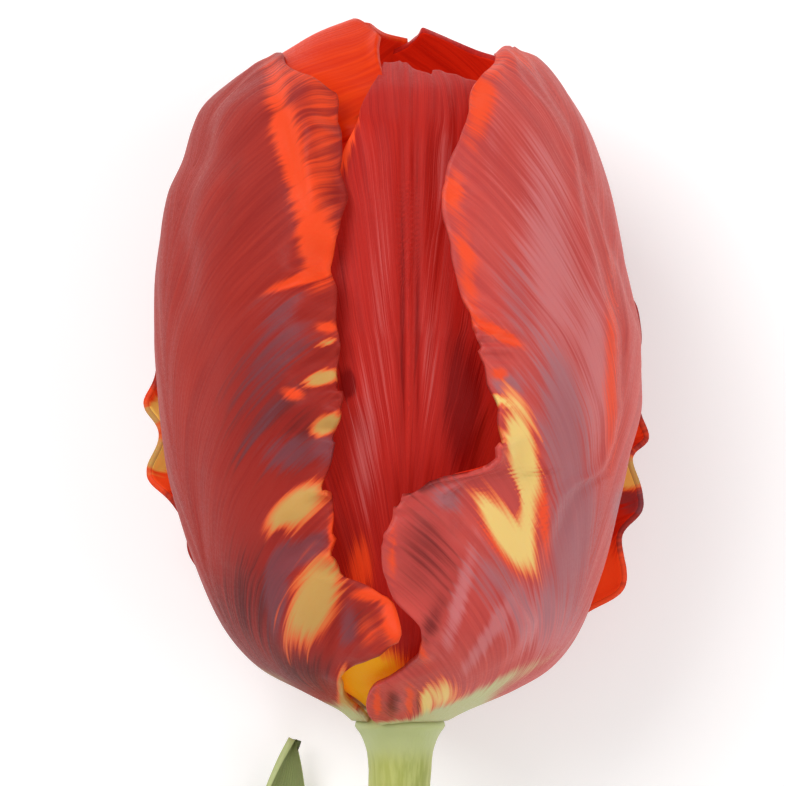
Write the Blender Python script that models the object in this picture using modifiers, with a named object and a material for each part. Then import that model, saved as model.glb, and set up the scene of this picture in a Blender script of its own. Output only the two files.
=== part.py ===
"""A cut parrot tulip that lies on its back, with its bloom towards +Y and its face towards +Z.

The bloom is a cup of three outer and three inner tepals. Each tepal is a grid bent by one formula:
a length along the cup, an angle round its axis, and an offset that holds the layers apart.
"""

import math
from dataclasses import dataclass, field

import bpy
import numpy as np
from mathutils import Vector

# Driving dimensions, in millimetres and degrees.
MM = 0.001
STEM_RADIUS = 4.0
STEM_CUT_RADIUS = 4.3
STEM_LENGTH = 208.0
TEPAL_THICKNESS = 0.8
LEAF_THICKNESS = 0.9
BLOOM_TILT = 5.0
FLAT_SPOT_DEPTH = 0.5
LAYER = 1.6
FLAP_TOP = 0.355
FLAP_NOTCH = -0.75
FLAP_SLOPE = -0.34

# The cup as seen from the front: height over the receptacle, radius on the left, radius on the right.
CUP = (
    (1.9, 6.3, 6.3),
    (3.0, 7.6, 8.4),
    (4.2, 9.8, 11.2),
    (5.8, 12.9, 14.8),
    (8.6, 18.1, 19.4),
    (13.5, 22.6, 23.3),
    (20.0, 25.8, 25.8),
    (27.7, 28.4, 27.8),
    (35.5, 30.3, 29.6),
    (43.2, 31.2, 31.2),
    (51.0, 31.7, 31.4),
    (57.0, 31.6, 30.0),
    (63.9, 31.0, 28.5),
    (69.7, 29.9, 27.2),
    (74.2, 27.9, 25.8),
    (78.0, 26.8, 24.4),
    (80.6, 25.7, 23.0),
    (84.5, 21.6, 20.4),
    (86.8, 18.4, 18.3),
    (88.4, 15.2, 16.0),
    (90.4, 10.8, 11.2),
    (91.8, 6.0, 6.4),
)


def ease(keys, x):
    """The smooth curve through keys, pairs of position and value, without overshoot."""
    at, value = np.array(keys, float).T
    slope = np.diff(value) / np.diff(at)
    tangent = np.zeros_like(at)
    before, after = slope[:-1], slope[1:]
    same = before * after > 0
    tangent[1:-1][same] = 2 * before[same] * after[same] / (before[same] + after[same])
    tangent[0], tangent[-1] = slope[0], slope[-1]
    i = np.clip(np.searchsorted(at, x, side="right") - 1, 0, len(at) - 2)
    step = at[i + 1] - at[i]
    f = np.clip((x - at[i]) / step, 0.0, 1.0)
    ends = value[i] * (2 * f**3 - 3 * f**2 + 1) + value[i + 1] * (3 * f**2 - 2 * f**3)
    return ends + step * (tangent[i] * (f**3 - 2 * f**2 + f) + tangent[i + 1] * (f**3 - f**2))


def ramp(x, start, end):
    """0 before start, 1 after end, smooth between. It falls instead of rising if end is under start."""
    f = np.clip((x - start) / (end - start), 0.0, 1.0)
    return f * f * (3 - 2 * f)


def bump(x, centre, half_width):
    """1 at the centre and near 0 past the half width."""
    return np.exp(-(((x - centre) / half_width) ** 2) * 1.5)


CUP_HEIGHT, CUP_LEFT, CUP_RIGHT = np.array(CUP).T
CUP_RUN = np.hypot(np.diff(CUP_HEIGHT), np.diff((CUP_LEFT + CUP_RIGHT) / 2))
CUP_LENGTH = np.concatenate(([0.0], np.cumsum(CUP_RUN)))


def cup_profile(length, azimuth):
    """Radius and height of the cup at a length along its wall."""
    right = (1 + np.sin(azimuth)) / 2
    left_radius = ease(np.column_stack((CUP_LENGTH, CUP_LEFT)), length)
    right_radius = ease(np.column_stack((CUP_LENGTH, CUP_RIGHT)), length)
    height = ease(np.column_stack((CUP_LENGTH, CUP_HEIGHT)), length)
    return left_radius * (1 - right) + right_radius * right, height


def cup_point(length, azimuth, offset):
    """A point of the cup moved by offset along the outward normal of its wall, with the axis along +Y."""
    radius, height = cup_profile(length, azimuth)
    ahead_radius, ahead_height = cup_profile(length + 0.6, azimuth)
    back_radius, back_height = cup_profile(length - 0.6, azimuth)
    run = np.hypot(ahead_radius - back_radius, ahead_height - back_height)
    radius = radius + offset * (ahead_height - back_height) / run
    height = height - offset * (ahead_radius - back_radius) / run
    return np.stack((radius * np.sin(azimuth), height, radius * np.cos(azimuth)), axis=-1)


def length_at(height):
    """The length along the cup's wall at which the wall reaches a height."""
    return np.interp(height, CUP_HEIGHT, CUP_LENGTH)


def seen_from_front(keys):
    """Turns margin keys of height and distance right of the axis into height and angle."""
    result = []
    for height, across in keys:
        radius = float(cup_profile(length_at(height), 0.0)[0])
        result.append((height, math.degrees(math.asin(across / radius))))
    return result


@dataclass
class Frill:
    """One margin's frill, in millimetres.

    Reach, waves and phase make its waves, and inset is how deep into the tepal they fade. Teeth cut
    its edge. Each lobe has a height, a half height, how far out it stands and how far it widens.
    Roll turns the margin out, keyed by the share of the tepal's length.
    """

    reach: float = 0.0
    waves: float = 7.0
    phase: float = 0.0
    teeth: float = 0.0
    inset: float = 0.25
    lobes: tuple = ()
    roll: tuple = ((0.0, 0.0), (1.0, 0.0))


@dataclass
class Tepal:
    """One tepal of the cup. Angles are from the face of the bloom, positive to the right.

    Margins are keyed by height, top by the place across, layer and hollow by the share along. A
    crease runs between two places, each a share along and a place across, with a depth and a half
    width.
    """

    name: str
    colour: tuple
    low_margin: list
    high_margin: list
    top: tuple
    layer: tuple
    across: int = 20
    along: int = 30
    low: Frill = field(default_factory=Frill)
    high: Frill = field(default_factory=Frill)
    hollow: tuple = ((0.0, 0.0), (1.0, 0.0))
    creases: tuple = ()
    flap: float = 0.0


def frill_offset(frill, side, share, height):
    """How far a margin stands out of the cup. side is 1 on the margin and falls to 0 inwards."""
    near = ramp(side, 1 - frill.inset, 1.0)
    wave = np.sin(2 * math.pi * (frill.waves * share + frill.phase))
    wave = wave + 0.4 * np.sin(2 * math.pi * (2.3 * frill.waves * share + 1.7 * frill.phase))
    offset = frill.reach * near * wave * ramp(share, 0.04, 0.2)
    offset = offset + ease(frill.roll, share) * near * near
    for centre, half, out, _ in frill.lobes:
        offset = offset + out * near * bump(height, centre, half)
    return offset


def frill_shift(frill, share, height):
    """How far a margin reaches past its smooth line, in millimetres along the wall."""
    tooth = np.abs(np.sin(math.pi * (frill.waves * 1.5 * share + frill.phase))) - 0.5
    shift = frill.teeth * tooth * ramp(share, 0.06, 0.2)
    for centre, half, _, wide in frill.lobes:
        shift = shift + wide * bump(height, centre, half)
    return shift


def flap_step(t, s):
    """1 on the lower flap of the right tepal, whose torn edge runs down from its notch, and 0 off it."""
    edge = FLAP_TOP + (t - FLAP_NOTCH) * FLAP_SLOPE
    return ramp(s, edge + 0.014, edge - 0.014) * ramp(s, 0.12, 0.24) * ramp(t, -0.3, -0.5)


def tepal_points(tepal, t, s):
    """Bloom coordinates of a tepal at t, -1 to 1 across it, and s, 0 to 1 from its base to its top."""
    top_length = length_at(ease(tepal.top, t))
    length = top_length * s
    low_height = np.interp(length_at(ease(tepal.top, -1.0)) * s, CUP_LENGTH, CUP_HEIGHT)
    high_height = np.interp(length_at(ease(tepal.top, 1.0)) * s, CUP_LENGTH, CUP_HEIGHT)
    radius = cup_profile(length, 0.0)[0]
    low_angle = ease(tepal.low_margin, low_height)
    low_angle = low_angle - np.degrees(frill_shift(tepal.low, s, low_height) / radius)
    high_angle = ease(tepal.high_margin, high_height)
    high_angle = high_angle + np.degrees(frill_shift(tepal.high, s, high_height) / radius)
    azimuth = np.radians(low_angle + (high_angle - low_angle) * (t + 1) / 2)
    offset = ease(tepal.layer, s) + ease(tepal.hollow, s) * (1 - t * t)
    offset = offset + frill_offset(tepal.low, -t, s, low_height)
    offset = offset + frill_offset(tepal.high, t, s, high_height)
    for s0, t0, s1, t1, depth, half in tepal.creases:
        line = t0 + (t1 - t0) * (s - s0) / (s1 - s0)
        inside = ramp(s, s0 - 0.06, s0 + 0.06) * ramp(s, s1 + 0.06, s1 - 0.06)
        offset = offset - depth * bump(t, line, half) * inside
    offset = offset + tepal.flap * flap_step(t, s)
    return cup_point(length, azimuth, offset)


LEFT_FRONT = (
    (1.9, -4.2), (4.0, -6.6), (6.5, -7.6), (9.0, -7.0), (11.2, -4.2), (13.5, -0.9), (16.0, 0.1),
    (18.0, -0.6), (19.7, -3.4), (21.2, -7.6), (24.0, -8.3), (28.0, -8.6), (33.0, -9.9), (37.0, -8.8),
    (43.0, -8.0), (47.7, -9.0), (52.0, -8.4), (57.5, -8.6), (60.6, -9.5), (67.7, -7.7), (73.5, -7.8),
    (80.0, -8.2), (83.0, -8.6), (88.0, -12.0),
)
RIGHT_FRONT = (
    (1.9, -2.6), (4.5, -4.1), (7.0, -3.4), (9.0, 0.6), (12.0, 2.6), (15.2, 2.5), (18.8, -0.7),
    (22.6, -2.0), (27.7, -1.5), (31.2, 0.4), (33.2, 4.2), (34.6, 9.8), (36.0, 11.4), (39.3, 12.8),
    (43.2, 12.5), (45.6, 11.0), (49.7, 10.3), (53.5, 9.0), (60.0, 7.1), (65.1, 6.1), (69.7, 5.5),
    (75.5, 7.7), (80.6, 9.1), (84.5, 10.6), (88.6, 12.2),
)

LEAF_CELLS = (8, 26)

RED = (0.42, 0.035, 0.030, 1.0)
DEEP_RED = (0.36, 0.018, 0.014, 1.0)
ROSE = (0.55, 0.13, 0.12, 1.0)
ORANGE_RED = (0.62, 0.06, 0.012, 1.0)
STEM_GREEN = (0.33, 0.37, 0.09, 1.0)
LEAF_GREEN = (0.17, 0.23, 0.09, 1.0)
PISTIL_GREEN = (0.35, 0.42, 0.12, 1.0)
ANTHER_DARK = (0.05, 0.02, 0.04, 1.0)

TEPALS = (
    Tepal(
        name="outer_tepal_left",
        colour=RED,
        low_margin=[(1.9, -116), (8.0, -125), (20.0, -141), (45.0, -150), (70.0, -148), (84.0, -138)],
        high_margin=seen_from_front(LEFT_FRONT),
        top=((-1.0, 80.5), (-0.5, 84.5), (0.05, 88.0), (0.3, 87.6), (0.7, 85.0), (1.0, 83.2)),
        layer=((0.0, 0.0), (1.0, 0.0)),
        low=Frill(reach=0.18, waves=6.0, phase=0.2, inset=0.2),
        high=Frill(
            reach=0.55, waves=9.0, phase=0.15, teeth=0.5, inset=0.2,
            lobes=((14.5, 5.4, 3.0, 0.0), (34.0, 4.0, -1.2, 0.0), (46.5, 3.0, -1.4, 0.0)),
            roll=((0.0, 0.0), (0.45, -0.4), (0.62, -2.2), (0.85, -3.4), (1.0, -2.0)),
        ),
        creases=((0.62, 0.34, 0.97, 0.12, 0.8, 0.14), (0.3, 0.2, 0.62, 0.5, 0.5, 0.18)),
    ),
    Tepal(
        name="outer_tepal_right",
        colour=ROSE,
        low_margin=seen_from_front(RIGHT_FRONT),
        high_margin=[(1.9, 116), (8.0, 125), (20.0, 141), (45.0, 150), (70.0, 148), (84.0, 138)],
        top=((-1.0, 88.4), (-0.6, 88.5), (-0.3, 87.4), (0.2, 86.0), (0.6, 83.5), (1.0, 80.0)),
        layer=((0.0, 0.0), (1.0, 0.0)),
        low=Frill(
            reach=0.45, waves=8.0, phase=0.6, teeth=0.4, inset=0.18,
            lobes=((4.0, 2.4, 1.3, 0.0), (28.0, 7.0, 0.8, 0.0), (41.0, 5.0, 0.8, 0.0)),
            roll=((0.0, 0.0), (0.4, 0.2), (0.6, -0.8), (1.0, -1.0)),
        ),
        high=Frill(reach=0.18, waves=6.0, phase=0.5, inset=0.2),
        creases=((0.5, 0.2, 1.0, -0.5, 0.55, 0.10),),
        flap=1.5,
    ),
    Tepal(
        name="outer_tepal_back",
        colour=RED,
        low_margin=[(1.9, 136), (7.0, 134), (16.0, 118), (30.0, 110), (55.0, 110), (74.0, 122), (80.0, 132)],
        high_margin=[(1.9, 224), (7.0, 226), (16.0, 242), (30.0, 250), (55.0, 250), (74.0, 238), (80.0, 228)],
        top=((-1.0, 76.0), (-0.5, 82.0), (0.0, 85.0), (0.5, 82.0), (1.0, 76.0)),
        layer=((0.0, 0.1), (0.06, 1.0), (0.12, LAYER), (1.0, LAYER)),
        low=Frill(
            reach=0.3, waves=7.0, phase=0.1, teeth=0.5, inset=0.3,
            lobes=((39.0, 2.6, 2.0, 0.6), (31.0, 5.0, 2.8, 0.9), (20.4, 5.4, 4.2, 1.6)),
            roll=((0.0, 0.0), (0.15, 0.4), (0.8, 0.4), (1.0, 0.2)),
        ),
        high=Frill(
            reach=0.3, waves=7.0, phase=0.7, teeth=0.5, inset=0.3,
            lobes=((42.6, 3.0, 2.5, 0.8), (34.4, 4.2, 2.6, 0.9)),
            roll=((0.0, 0.0), (0.15, 0.4), (0.8, 0.4), (1.0, 0.2)),
        ),
    ),
    Tepal(
        name="inner_tepal_front",
        colour=DEEP_RED,
        low_margin=[(1.9, -46), (8.0, -52), (25.0, -58), (58.0, -60), (74.0, -20), (80, -15), (90, -12)],
        high_margin=[(1.9, 46), (8.0, 52), (25.0, 58), (60.0, 60), (80.0, 52), (90.0, 46)],
        top=((-1.0, 88.2), (-0.6, 89.2), (-0.3, 88.6), (0.1, 88.0), (0.6, 86.4), (1.0, 82.0)),
        layer=((0.0, -LAYER), (0.1, -1.9), (0.2, -2.6), (0.6, -3.0), (0.75, -4.1), (1.0, -4.1)),
        hollow=((0.0, 0.0), (0.12, -0.5), (0.3, -3.6), (0.6, -3.2), (0.75, -1.6), (1.0, -0.6)),
        across=16,
        along=24,
        creases=((0.3, -0.03, 0.98, -0.06, 0.7, 0.09),),
        low=Frill(reach=0.12, waves=5.0, inset=0.2),
        high=Frill(reach=0.12, waves=5.0, inset=0.2),
    ),
    Tepal(
        name="inner_tepal_back_left",
        colour=ORANGE_RED,
        low_margin=[(1.9, -167), (8.0, -170), (60.0, -177), (91.0, -177)],
        high_margin=[
            (1.9, -73), (8.0, -69), (25.0, -66), (60.0, -66), (76.0, -30), (82.0, -9), (87.0, -8), (91.0, -18),
        ],
        top=((-1.0, 89.2), (-0.5, 91.4), (0.0, 91.8), (0.6, 91.8), (0.85, 91.4), (1.0, 90.6)),
        layer=((0.0, -LAYER), (0.6, -LAYER), (0.75, -LAYER - 0.2), (1.0, -LAYER - 0.8)),
        across=14,
        along=24,
        low=Frill(reach=0.15, waves=5.0, inset=0.25, phase=0.3),
        high=Frill(
            reach=0.1, waves=5.0, phase=0.3, inset=0.9,
            roll=((0.0, 0.0), (0.45, 0.0), (0.6, -1.6), (0.7, -4.6), (0.9, -4.8), (1.0, -2.0)),
        ),
    ),
    Tepal(
        name="inner_tepal_back_right",
        colour=DEEP_RED,
        low_margin=[(1.9, 73), (8.0, 69), (25.0, 66), (70.0, 66), (91.0, 70)],
        high_margin=[(1.9, 167), (8.0, 170), (60.0, 177), (91.0, 177)],
        top=((-1.0, 86.4), (-0.6, 88.6), (0.0, 90.2), (0.5, 90.0), (1.0, 88.0)),
        layer=((0.0, -LAYER), (0.15, -LAYER), (0.9, -LAYER - 0.1), (1.0, -LAYER - 0.8)),
        across=14,
        along=24,
        low=Frill(reach=0.1, waves=5.0, inset=0.2, phase=0.8),
        high=Frill(reach=0.15, waves=5.0, inset=0.25, phase=0.8),
    ),
)


def bloom_to_world(points, lift):
    """Tilts bloom coordinates about the receptacle and lifts them, in millimetres."""
    tilt = math.radians(BLOOM_TILT)
    x, y, z = np.moveaxis(points, -1, 0)
    up = y * math.sin(tilt) + z * math.cos(tilt) + lift
    return np.stack((x, y * math.cos(tilt) - z * math.sin(tilt), up), axis=-1)


def rest_of_bloom():
    """How far the receptacle is above the surface, and how far along Y the bloom's flat spot is."""
    back = next(tepal for tepal in TEPALS if tepal.name == "outer_tepal_back")
    t, s = np.meshgrid(np.linspace(-0.3, 0.3, 61), np.linspace(0, 1, 161))
    points = bloom_to_world(tepal_points(back, t, s), 0.0)
    lift = -points[..., 2].min() - FLAT_SPOT_DEPTH
    flat = points[..., 2] + lift < 0
    return lift, points[..., 1][flat].mean()


def clear_scene():
    """Removes what Blender starts with."""
    for obj in list(bpy.data.objects):
        bpy.data.objects.remove(obj)


def make_material(name, colour, roughness=0.45):
    """A plain material of one colour."""
    material = bpy.data.materials.new(name)
    material.use_nodes = True
    shader = material.node_tree.nodes["Principled BSDF"]
    shader.inputs["Base Color"].default_value = colour
    shader.inputs["Roughness"].default_value = roughness
    material.diffuse_color = colour
    return material


def put_in(obj, collection):
    """Moves an object to a collection."""
    for old in list(obj.users_collection):
        old.objects.unlink(obj)
    collection.objects.link(obj)


def grid_object(name, across, along, place, collection, material):
    """A primitive grid whose points are moved by place(t, s), which returns millimetres."""
    bpy.ops.mesh.primitive_grid_add(x_subdivisions=across, y_subdivisions=along, size=2)
    obj = bpy.context.object
    obj.name = obj.data.name = name
    flat = np.empty(len(obj.data.vertices) * 3, np.float32)
    obj.data.vertices.foreach_get("co", flat)
    flat = flat.reshape(-1, 3).astype(float)
    bent = place(flat[:, 0], (flat[:, 1] + 1) / 2) * MM
    obj.data.vertices.foreach_set("co", bent.astype(np.float32).ravel())
    obj.data.update()
    obj.data.shade_smooth()
    put_in(obj, collection)
    obj.data.materials.append(material)
    return obj


def give_thickness(obj, thickness):
    """Both faces get the same triangles, so that the blade stays one clean closed body."""
    obj.modifiers.new("Triangles", "TRIANGULATE")
    solid = obj.modifiers.new("Thickness", "SOLIDIFY")
    solid.thickness = thickness * MM
    solid.offset = -1.0
    return obj


def build_tepal(tepal, lift, collection):
    """One tepal as a closed blade whose lowest part is flat on the surface."""

    def place(t, s):
        points = bloom_to_world(tepal_points(tepal, t, s), lift)
        points[:, 2] = np.maximum(points[:, 2], 0.0)
        return points

    material = make_material(tepal.name, tepal.colour)
    obj = grid_object(tepal.name, tepal.across, tepal.along, place, collection, material)
    return give_thickness(obj, TEPAL_THICKNESS)


def stem_axis(y, lift):
    """Centre of the stem at a distance y, negative below the bloom."""
    slope = math.tan(math.radians(BLOOM_TILT))
    end = -STEM_LENGTH
    keys = ((end, STEM_CUT_RADIUS), (end + 30, STEM_CUT_RADIUS + 1.3), (-90.0, lift * 0.53), (0.0, lift))
    height = ease(keys, np.minimum(y, 0.0)) + np.maximum(y, 0.0) * slope
    blend = ramp(y, -50.0, 0.0)
    height = height * (1 - blend) + (lift + y * slope) * blend
    across = ease(((end, 5.0), (-130.0, -2.4), (-60.0, -1.2), (-30.0, -0.2), (20.0, 0.0)), y)
    return np.stack((across, y + 0 * height, height), axis=-1)


def tube_object(name, points, radii, collection, material, sides=3):
    """A curve with a round bevel through points in millimetres, closed at both ends."""
    curve = bpy.data.curves.new(name, "CURVE")
    curve.dimensions = "3D"
    curve.bevel_depth = MM
    curve.bevel_resolution = sides
    curve.use_fill_caps = True
    curve.twist_mode = "MINIMUM"
    spline = curve.splines.new("POLY")
    spline.points.add(len(points) - 1)
    for point, place, radius in zip(spline.points, points, radii):
        point.co = (*(Vector(place) * MM), 1.0)
        point.radius = radius
    spline.use_smooth = True
    obj = bpy.data.objects.new(name, curve)
    collection.objects.link(obj)
    curve.materials.append(material)
    return obj


# Radius of the stem by place along Y, and of the receptacle by height.
STEM_WIDTHS = (
    (-STEM_LENGTH, STEM_CUT_RADIUS),
    (-160.0, STEM_RADIUS + 0.1),
    (-60.0, STEM_RADIUS),
    (0.0, STEM_RADIUS),
)
RECEPTACLE = (
    (-4.0, 4.15),
    (-2.2, 4.5),
    (-0.8, 5.0),
    (0.4, 5.6),
    (1.2, 5.9),
    (1.9, 5.5),
    (2.5, 5.0),
    (2.8, 4.4),
)


def build_stem(lift, collection):
    """The stem, a little thicker at the cut, with the receptacle that carries the tepals."""
    below = np.linspace(-STEM_LENGTH, -6.0, 30)
    points = [tuple(point) for point in stem_axis(below, lift)]
    radii = list(ease(STEM_WIDTHS, below))
    for height, radius in RECEPTACLE:
        points.append(tuple(bloom_to_world(np.array((0.0, height, 0.0)), lift)))
        radii.append(radius)
    material = make_material("stem", STEM_GREEN, 0.5)
    return tube_object("stem", points, radii, collection, material, 4)


@dataclass
class Leaf:
    """A leaf along a line.

    Path keys hold a share, a distance across, a place along Y and a height over the stem's centre.
    Half width, bend (the radius of its hollow) and turn (the roll of its hollow side from up,
    positive towards +X) are keyed by the share.
    """

    name: str
    path: tuple
    half_width: tuple
    bend: tuple
    turn: tuple
    wave: float


LEAF_WAVES = 2.6
LEAVES = (
    Leaf(
        name="leaf_upper",
        path=(
            (0.0, -4.6, -144.0, 0.0), (0.10, -5.0, -131.0, 0.0), (0.18, -8.4, -120.0, -0.6),
            (0.3, -15.0, -103.0, -5.4), (0.5, -18.5, -72.0, -17.0), (0.75, -19.5, -36.0, -19.6),
            (0.92, -15.2, -9.0, -23.2), (1.0, -13.7, 0.3, -23.0),
        ),
        half_width=((0.0, 5.0), (0.1, 7.0), (0.35, 11.5), (0.6, 11.0), (0.8, 6.4), (0.93, 2.7), (1.0, 0.5)),
        bend=((0.0, 4.6), (0.12, 5.4), (0.2, 8.5), (0.35, 14.0), (0.6, 22.0), (1.0, 14.0)),
        turn=((0.0, 90.0), (0.12, 86.0), (0.2, 65.0), (0.35, 34.0), (0.6, 12.0), (1.0, 8.0)),
        wave=0.7,
    ),
    Leaf(
        name="leaf_lower",
        path=(
            (0.0, 4.7, -180.0, 0.0), (0.10, 5.2, -169.0, 0.0), (0.18, 9.0, -160.0, -0.4),
            (0.3, 17.0, -146.0, -3.0), (0.55, 30.0, -112.0, -9.8), (0.8, 40.5, -74.0, -18.0),
            (0.93, 43.5, -52.0, -20.0), (1.0, 44.5, -40.0, -20.0),
        ),
        half_width=((0.0, 4.6), (0.12, 7.4), (0.35, 14.0), (0.55, 14.5), (0.8, 9.0), (0.94, 3.4), (1.0, 0.5)),
        bend=((0.0, 4.7), (0.12, 5.6), (0.2, 9.5), (0.35, 22.0), (0.6, 60.0), (1.0, 30.0)),
        turn=((0.0, -90.0), (0.12, -84.0), (0.2, -62.0), (0.35, -20.0), (0.6, -3.0), (1.0, -6.0)),
        wave=0.9,
    ),
)


def leaf_points(leaf, t, s, lift):
    """World coordinates of a leaf at t, -1 to 1 across it, and s, 0 to 1 from its base to its tip."""

    def centre(share):
        across, y, up = (ease([(key[0], key[i]) for key in leaf.path], share) for i in (1, 2, 3))
        return stem_axis(y, lift) + np.stack((across, 0 * y, up), axis=-1)

    along = centre(np.minimum(s + 0.01, 1.0)) - centre(np.maximum(s - 0.01, 0.0))
    along = along / np.linalg.norm(along, axis=-1, keepdims=True)
    turn = np.radians(ease(leaf.turn, s))
    side = np.stack((np.cos(turn), 0 * turn, -np.sin(turn)), axis=-1)
    side = side - along * np.sum(side * along, axis=-1, keepdims=True)
    side = side / np.linalg.norm(side, axis=-1, keepdims=True)
    hollow = np.cross(side, along)
    bend = ease(leaf.bend, s)
    angle = t * ease(leaf.half_width, s) / bend
    wave = leaf.wave * t * t * np.sin(2 * math.pi * LEAF_WAVES * s + 1.5 * t) * ramp(s, 0.2, 0.5)
    points = centre(s) + side * (bend * np.sin(angle))[:, None]
    points = points + hollow * (bend * (1 - np.cos(angle)) + wave)[:, None]
    points[:, 2] = np.maximum(points[:, 2], LEAF_THICKNESS)
    return points


def build_leaf(leaf, lift, collection):
    """One leaf as a closed blade."""

    def place(t, s):
        return leaf_points(leaf, t, s, lift)

    material = make_material(leaf.name, LEAF_GREEN, 0.55)
    obj = grid_object(leaf.name, LEAF_CELLS[0], LEAF_CELLS[1], place, collection, material)
    return give_thickness(obj, LEAF_THICKNESS)


PISTIL_FOOT = 3.2
PISTIL_HEIGHT = 29.0
PISTIL_SIDES = 18
PISTIL_LOBES = 3
STIGMA_START = 0.8

# Radius of the ovary and of the stigma over it, by share of the pistil's height.
PISTIL_OUTLINE = (
    (0.0, 2.3),
    (0.1, 3.0),
    (0.5, 3.1),
    (0.76, 2.5),
    (0.84, 2.4),
    (0.9, 4.6),
    (0.96, 4.9),
    (1.0, 3.4),
)
PISTIL_RINGS = (0.0, 0.07, 0.14, 0.21, 0.28, 0.35, 0.42, 0.49, 0.56, 0.63, 0.7, 0.78, 0.84, 0.9, 0.96, 1.0)


def build_pistil(lift, collection):
    """The three-sided ovary with its three-lobed stigma, lofted through lobed rings and capped."""
    verts, faces = [], []
    for share in PISTIL_RINGS:
        lobing = 0.10 + 0.22 * float(ramp(share, STIGMA_START, 0.95))
        radius = float(ease(PISTIL_OUTLINE, share))
        for side in range(PISTIL_SIDES):
            angle = 2 * math.pi * side / PISTIL_SIDES
            lobed = radius * (1 + lobing * math.cos(PISTIL_LOBES * angle))
            height = PISTIL_FOOT + PISTIL_HEIGHT * share
            verts.append((lobed * math.sin(angle), height, lobed * math.cos(angle)))
    for ring in range(len(PISTIL_RINGS) - 1):
        for side in range(PISTIL_SIDES):
            a = ring * PISTIL_SIDES + side
            b = ring * PISTIL_SIDES + (side + 1) % PISTIL_SIDES
            faces.append((a, b, b + PISTIL_SIDES, a + PISTIL_SIDES))
    faces.append(tuple(reversed(range(PISTIL_SIDES))))
    faces.append(tuple(range(len(verts) - PISTIL_SIDES, len(verts))))
    placed = bloom_to_world(np.array(verts), lift) * MM
    mesh = bpy.data.meshes.new("pistil")
    mesh.from_pydata([tuple(point) for point in placed], [], faces)
    mesh.materials.append(make_material("pistil", PISTIL_GREEN))
    mesh.shade_smooth()
    obj = bpy.data.objects.new("pistil", mesh)
    collection.objects.link(obj)
    return obj


STAMEN_COUNT = 6
STAMEN_FOOT = 3.35
STAMEN_HEIGHT = 25.0
STAMEN_START = 3.6
STAMEN_SPREAD = 4.6

# Radius of the filament and of the anther over it, by share of the stamen's height.
STAMEN_OUTLINE = (
    (0.0, 0.65),
    (0.2, 0.6),
    (0.4, 0.5),
    (0.5, 0.5),
    (0.54, 1.1),
    (0.6, 1.5),
    (0.75, 1.6),
    (0.9, 1.4),
    (0.97, 1.0),
    (1.0, 0.5),
)


def build_stamen(index, lift, collection):
    """A pale filament with a dark anther, one tube of changing radius."""
    angle = math.radians(30 + 360 / STAMEN_COUNT * index)
    shares, radii = np.array(STAMEN_OUTLINE).T
    distance = STAMEN_START + STAMEN_SPREAD * shares**0.8
    height = STAMEN_FOOT + STAMEN_HEIGHT * shares
    local = np.stack((distance * math.sin(angle), height, distance * math.cos(angle)), axis=-1)
    points = [tuple(point) for point in bloom_to_world(local, lift)]
    name = f"stamen_{index + 1}"
    material = make_material(name, ANTHER_DARK, 0.7)
    return tube_object(name, points, radii, collection, material, 1)


def place_origin(collection, rest_y):
    """Puts the origin on the flat spot under the bloom, with every piece on one empty."""
    origin = bpy.data.objects.new("parrot_tulip", None)
    origin.location = (0.0, -rest_y * MM, 0.0)
    for obj in list(collection.objects):
        obj.parent = origin
    collection.objects.link(origin)


def main():
    """Builds every piece and puts the origin under the bloom."""
    clear_scene()
    collection = bpy.data.collections.new("parrot_tulip")
    bpy.context.scene.collection.children.link(collection)
    lift, rest_y = rest_of_bloom()
    for tepal in TEPALS:
        build_tepal(tepal, lift, collection)
    build_stem(lift, collection)
    for leaf in LEAVES:
        build_leaf(leaf, lift, collection)
    build_pistil(lift, collection)
    for index in range(STAMEN_COUNT):
        build_stamen(index, lift, collection)
    place_origin(collection, rest_y)


if __name__ == "__main__":
    main()
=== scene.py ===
"""A cut parrot tulip that lies on its back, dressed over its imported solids.

Bloom coordinates are millimetres seen from the face of the bloom: x to the right, y up from the
receptacle and z out of the face. The same cup and tepals as the solids', with finer grids, frilled
margins and folds, carry petal finishes whose colours are feathered along the veins.
"""

from __future__ import annotations

import logging
import math
from collections.abc import Sequence
from dataclasses import dataclass, field
from enum import Enum

import bmesh
import bpy
import numpy as np
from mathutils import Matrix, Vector

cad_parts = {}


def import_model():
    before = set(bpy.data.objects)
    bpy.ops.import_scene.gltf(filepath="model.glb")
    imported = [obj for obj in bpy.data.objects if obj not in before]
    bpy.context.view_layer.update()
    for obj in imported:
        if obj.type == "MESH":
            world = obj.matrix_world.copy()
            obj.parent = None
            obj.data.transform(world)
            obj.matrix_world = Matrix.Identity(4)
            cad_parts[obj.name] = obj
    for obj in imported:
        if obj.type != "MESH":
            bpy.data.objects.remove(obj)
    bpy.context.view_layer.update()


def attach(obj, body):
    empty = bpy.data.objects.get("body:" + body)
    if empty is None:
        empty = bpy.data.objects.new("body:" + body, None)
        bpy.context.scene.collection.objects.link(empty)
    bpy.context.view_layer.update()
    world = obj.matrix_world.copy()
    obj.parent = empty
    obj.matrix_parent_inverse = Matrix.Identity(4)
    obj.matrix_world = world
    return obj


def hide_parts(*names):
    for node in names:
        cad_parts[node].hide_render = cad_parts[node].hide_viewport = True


LOG = logging.getLogger("parrot_tulip")

Key = tuple[float, float]
Keys = Sequence[Key]
Rows = tuple[tuple[float, ...], ...]
Triple = tuple[float, float, float]
Colour = tuple[float, float, float, float]

# Driving dimensions, in millimetres and degrees.
MM = 0.001
STEM_RADIUS = 4.0
STEM_CUT_RADIUS = 4.3
STEM_LENGTH = 208.0
TEPAL_THICKNESS = 0.8
LEAF_THICKNESS = 0.9
BLOOM_TILT = 5.0
FLAT_SPOT_DEPTH = 0.5
LAYER = 1.6
FLAP_TOP = 0.355
FLAP_NOTCH = -0.75
FLAP_SLOPE = -0.34

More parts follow.
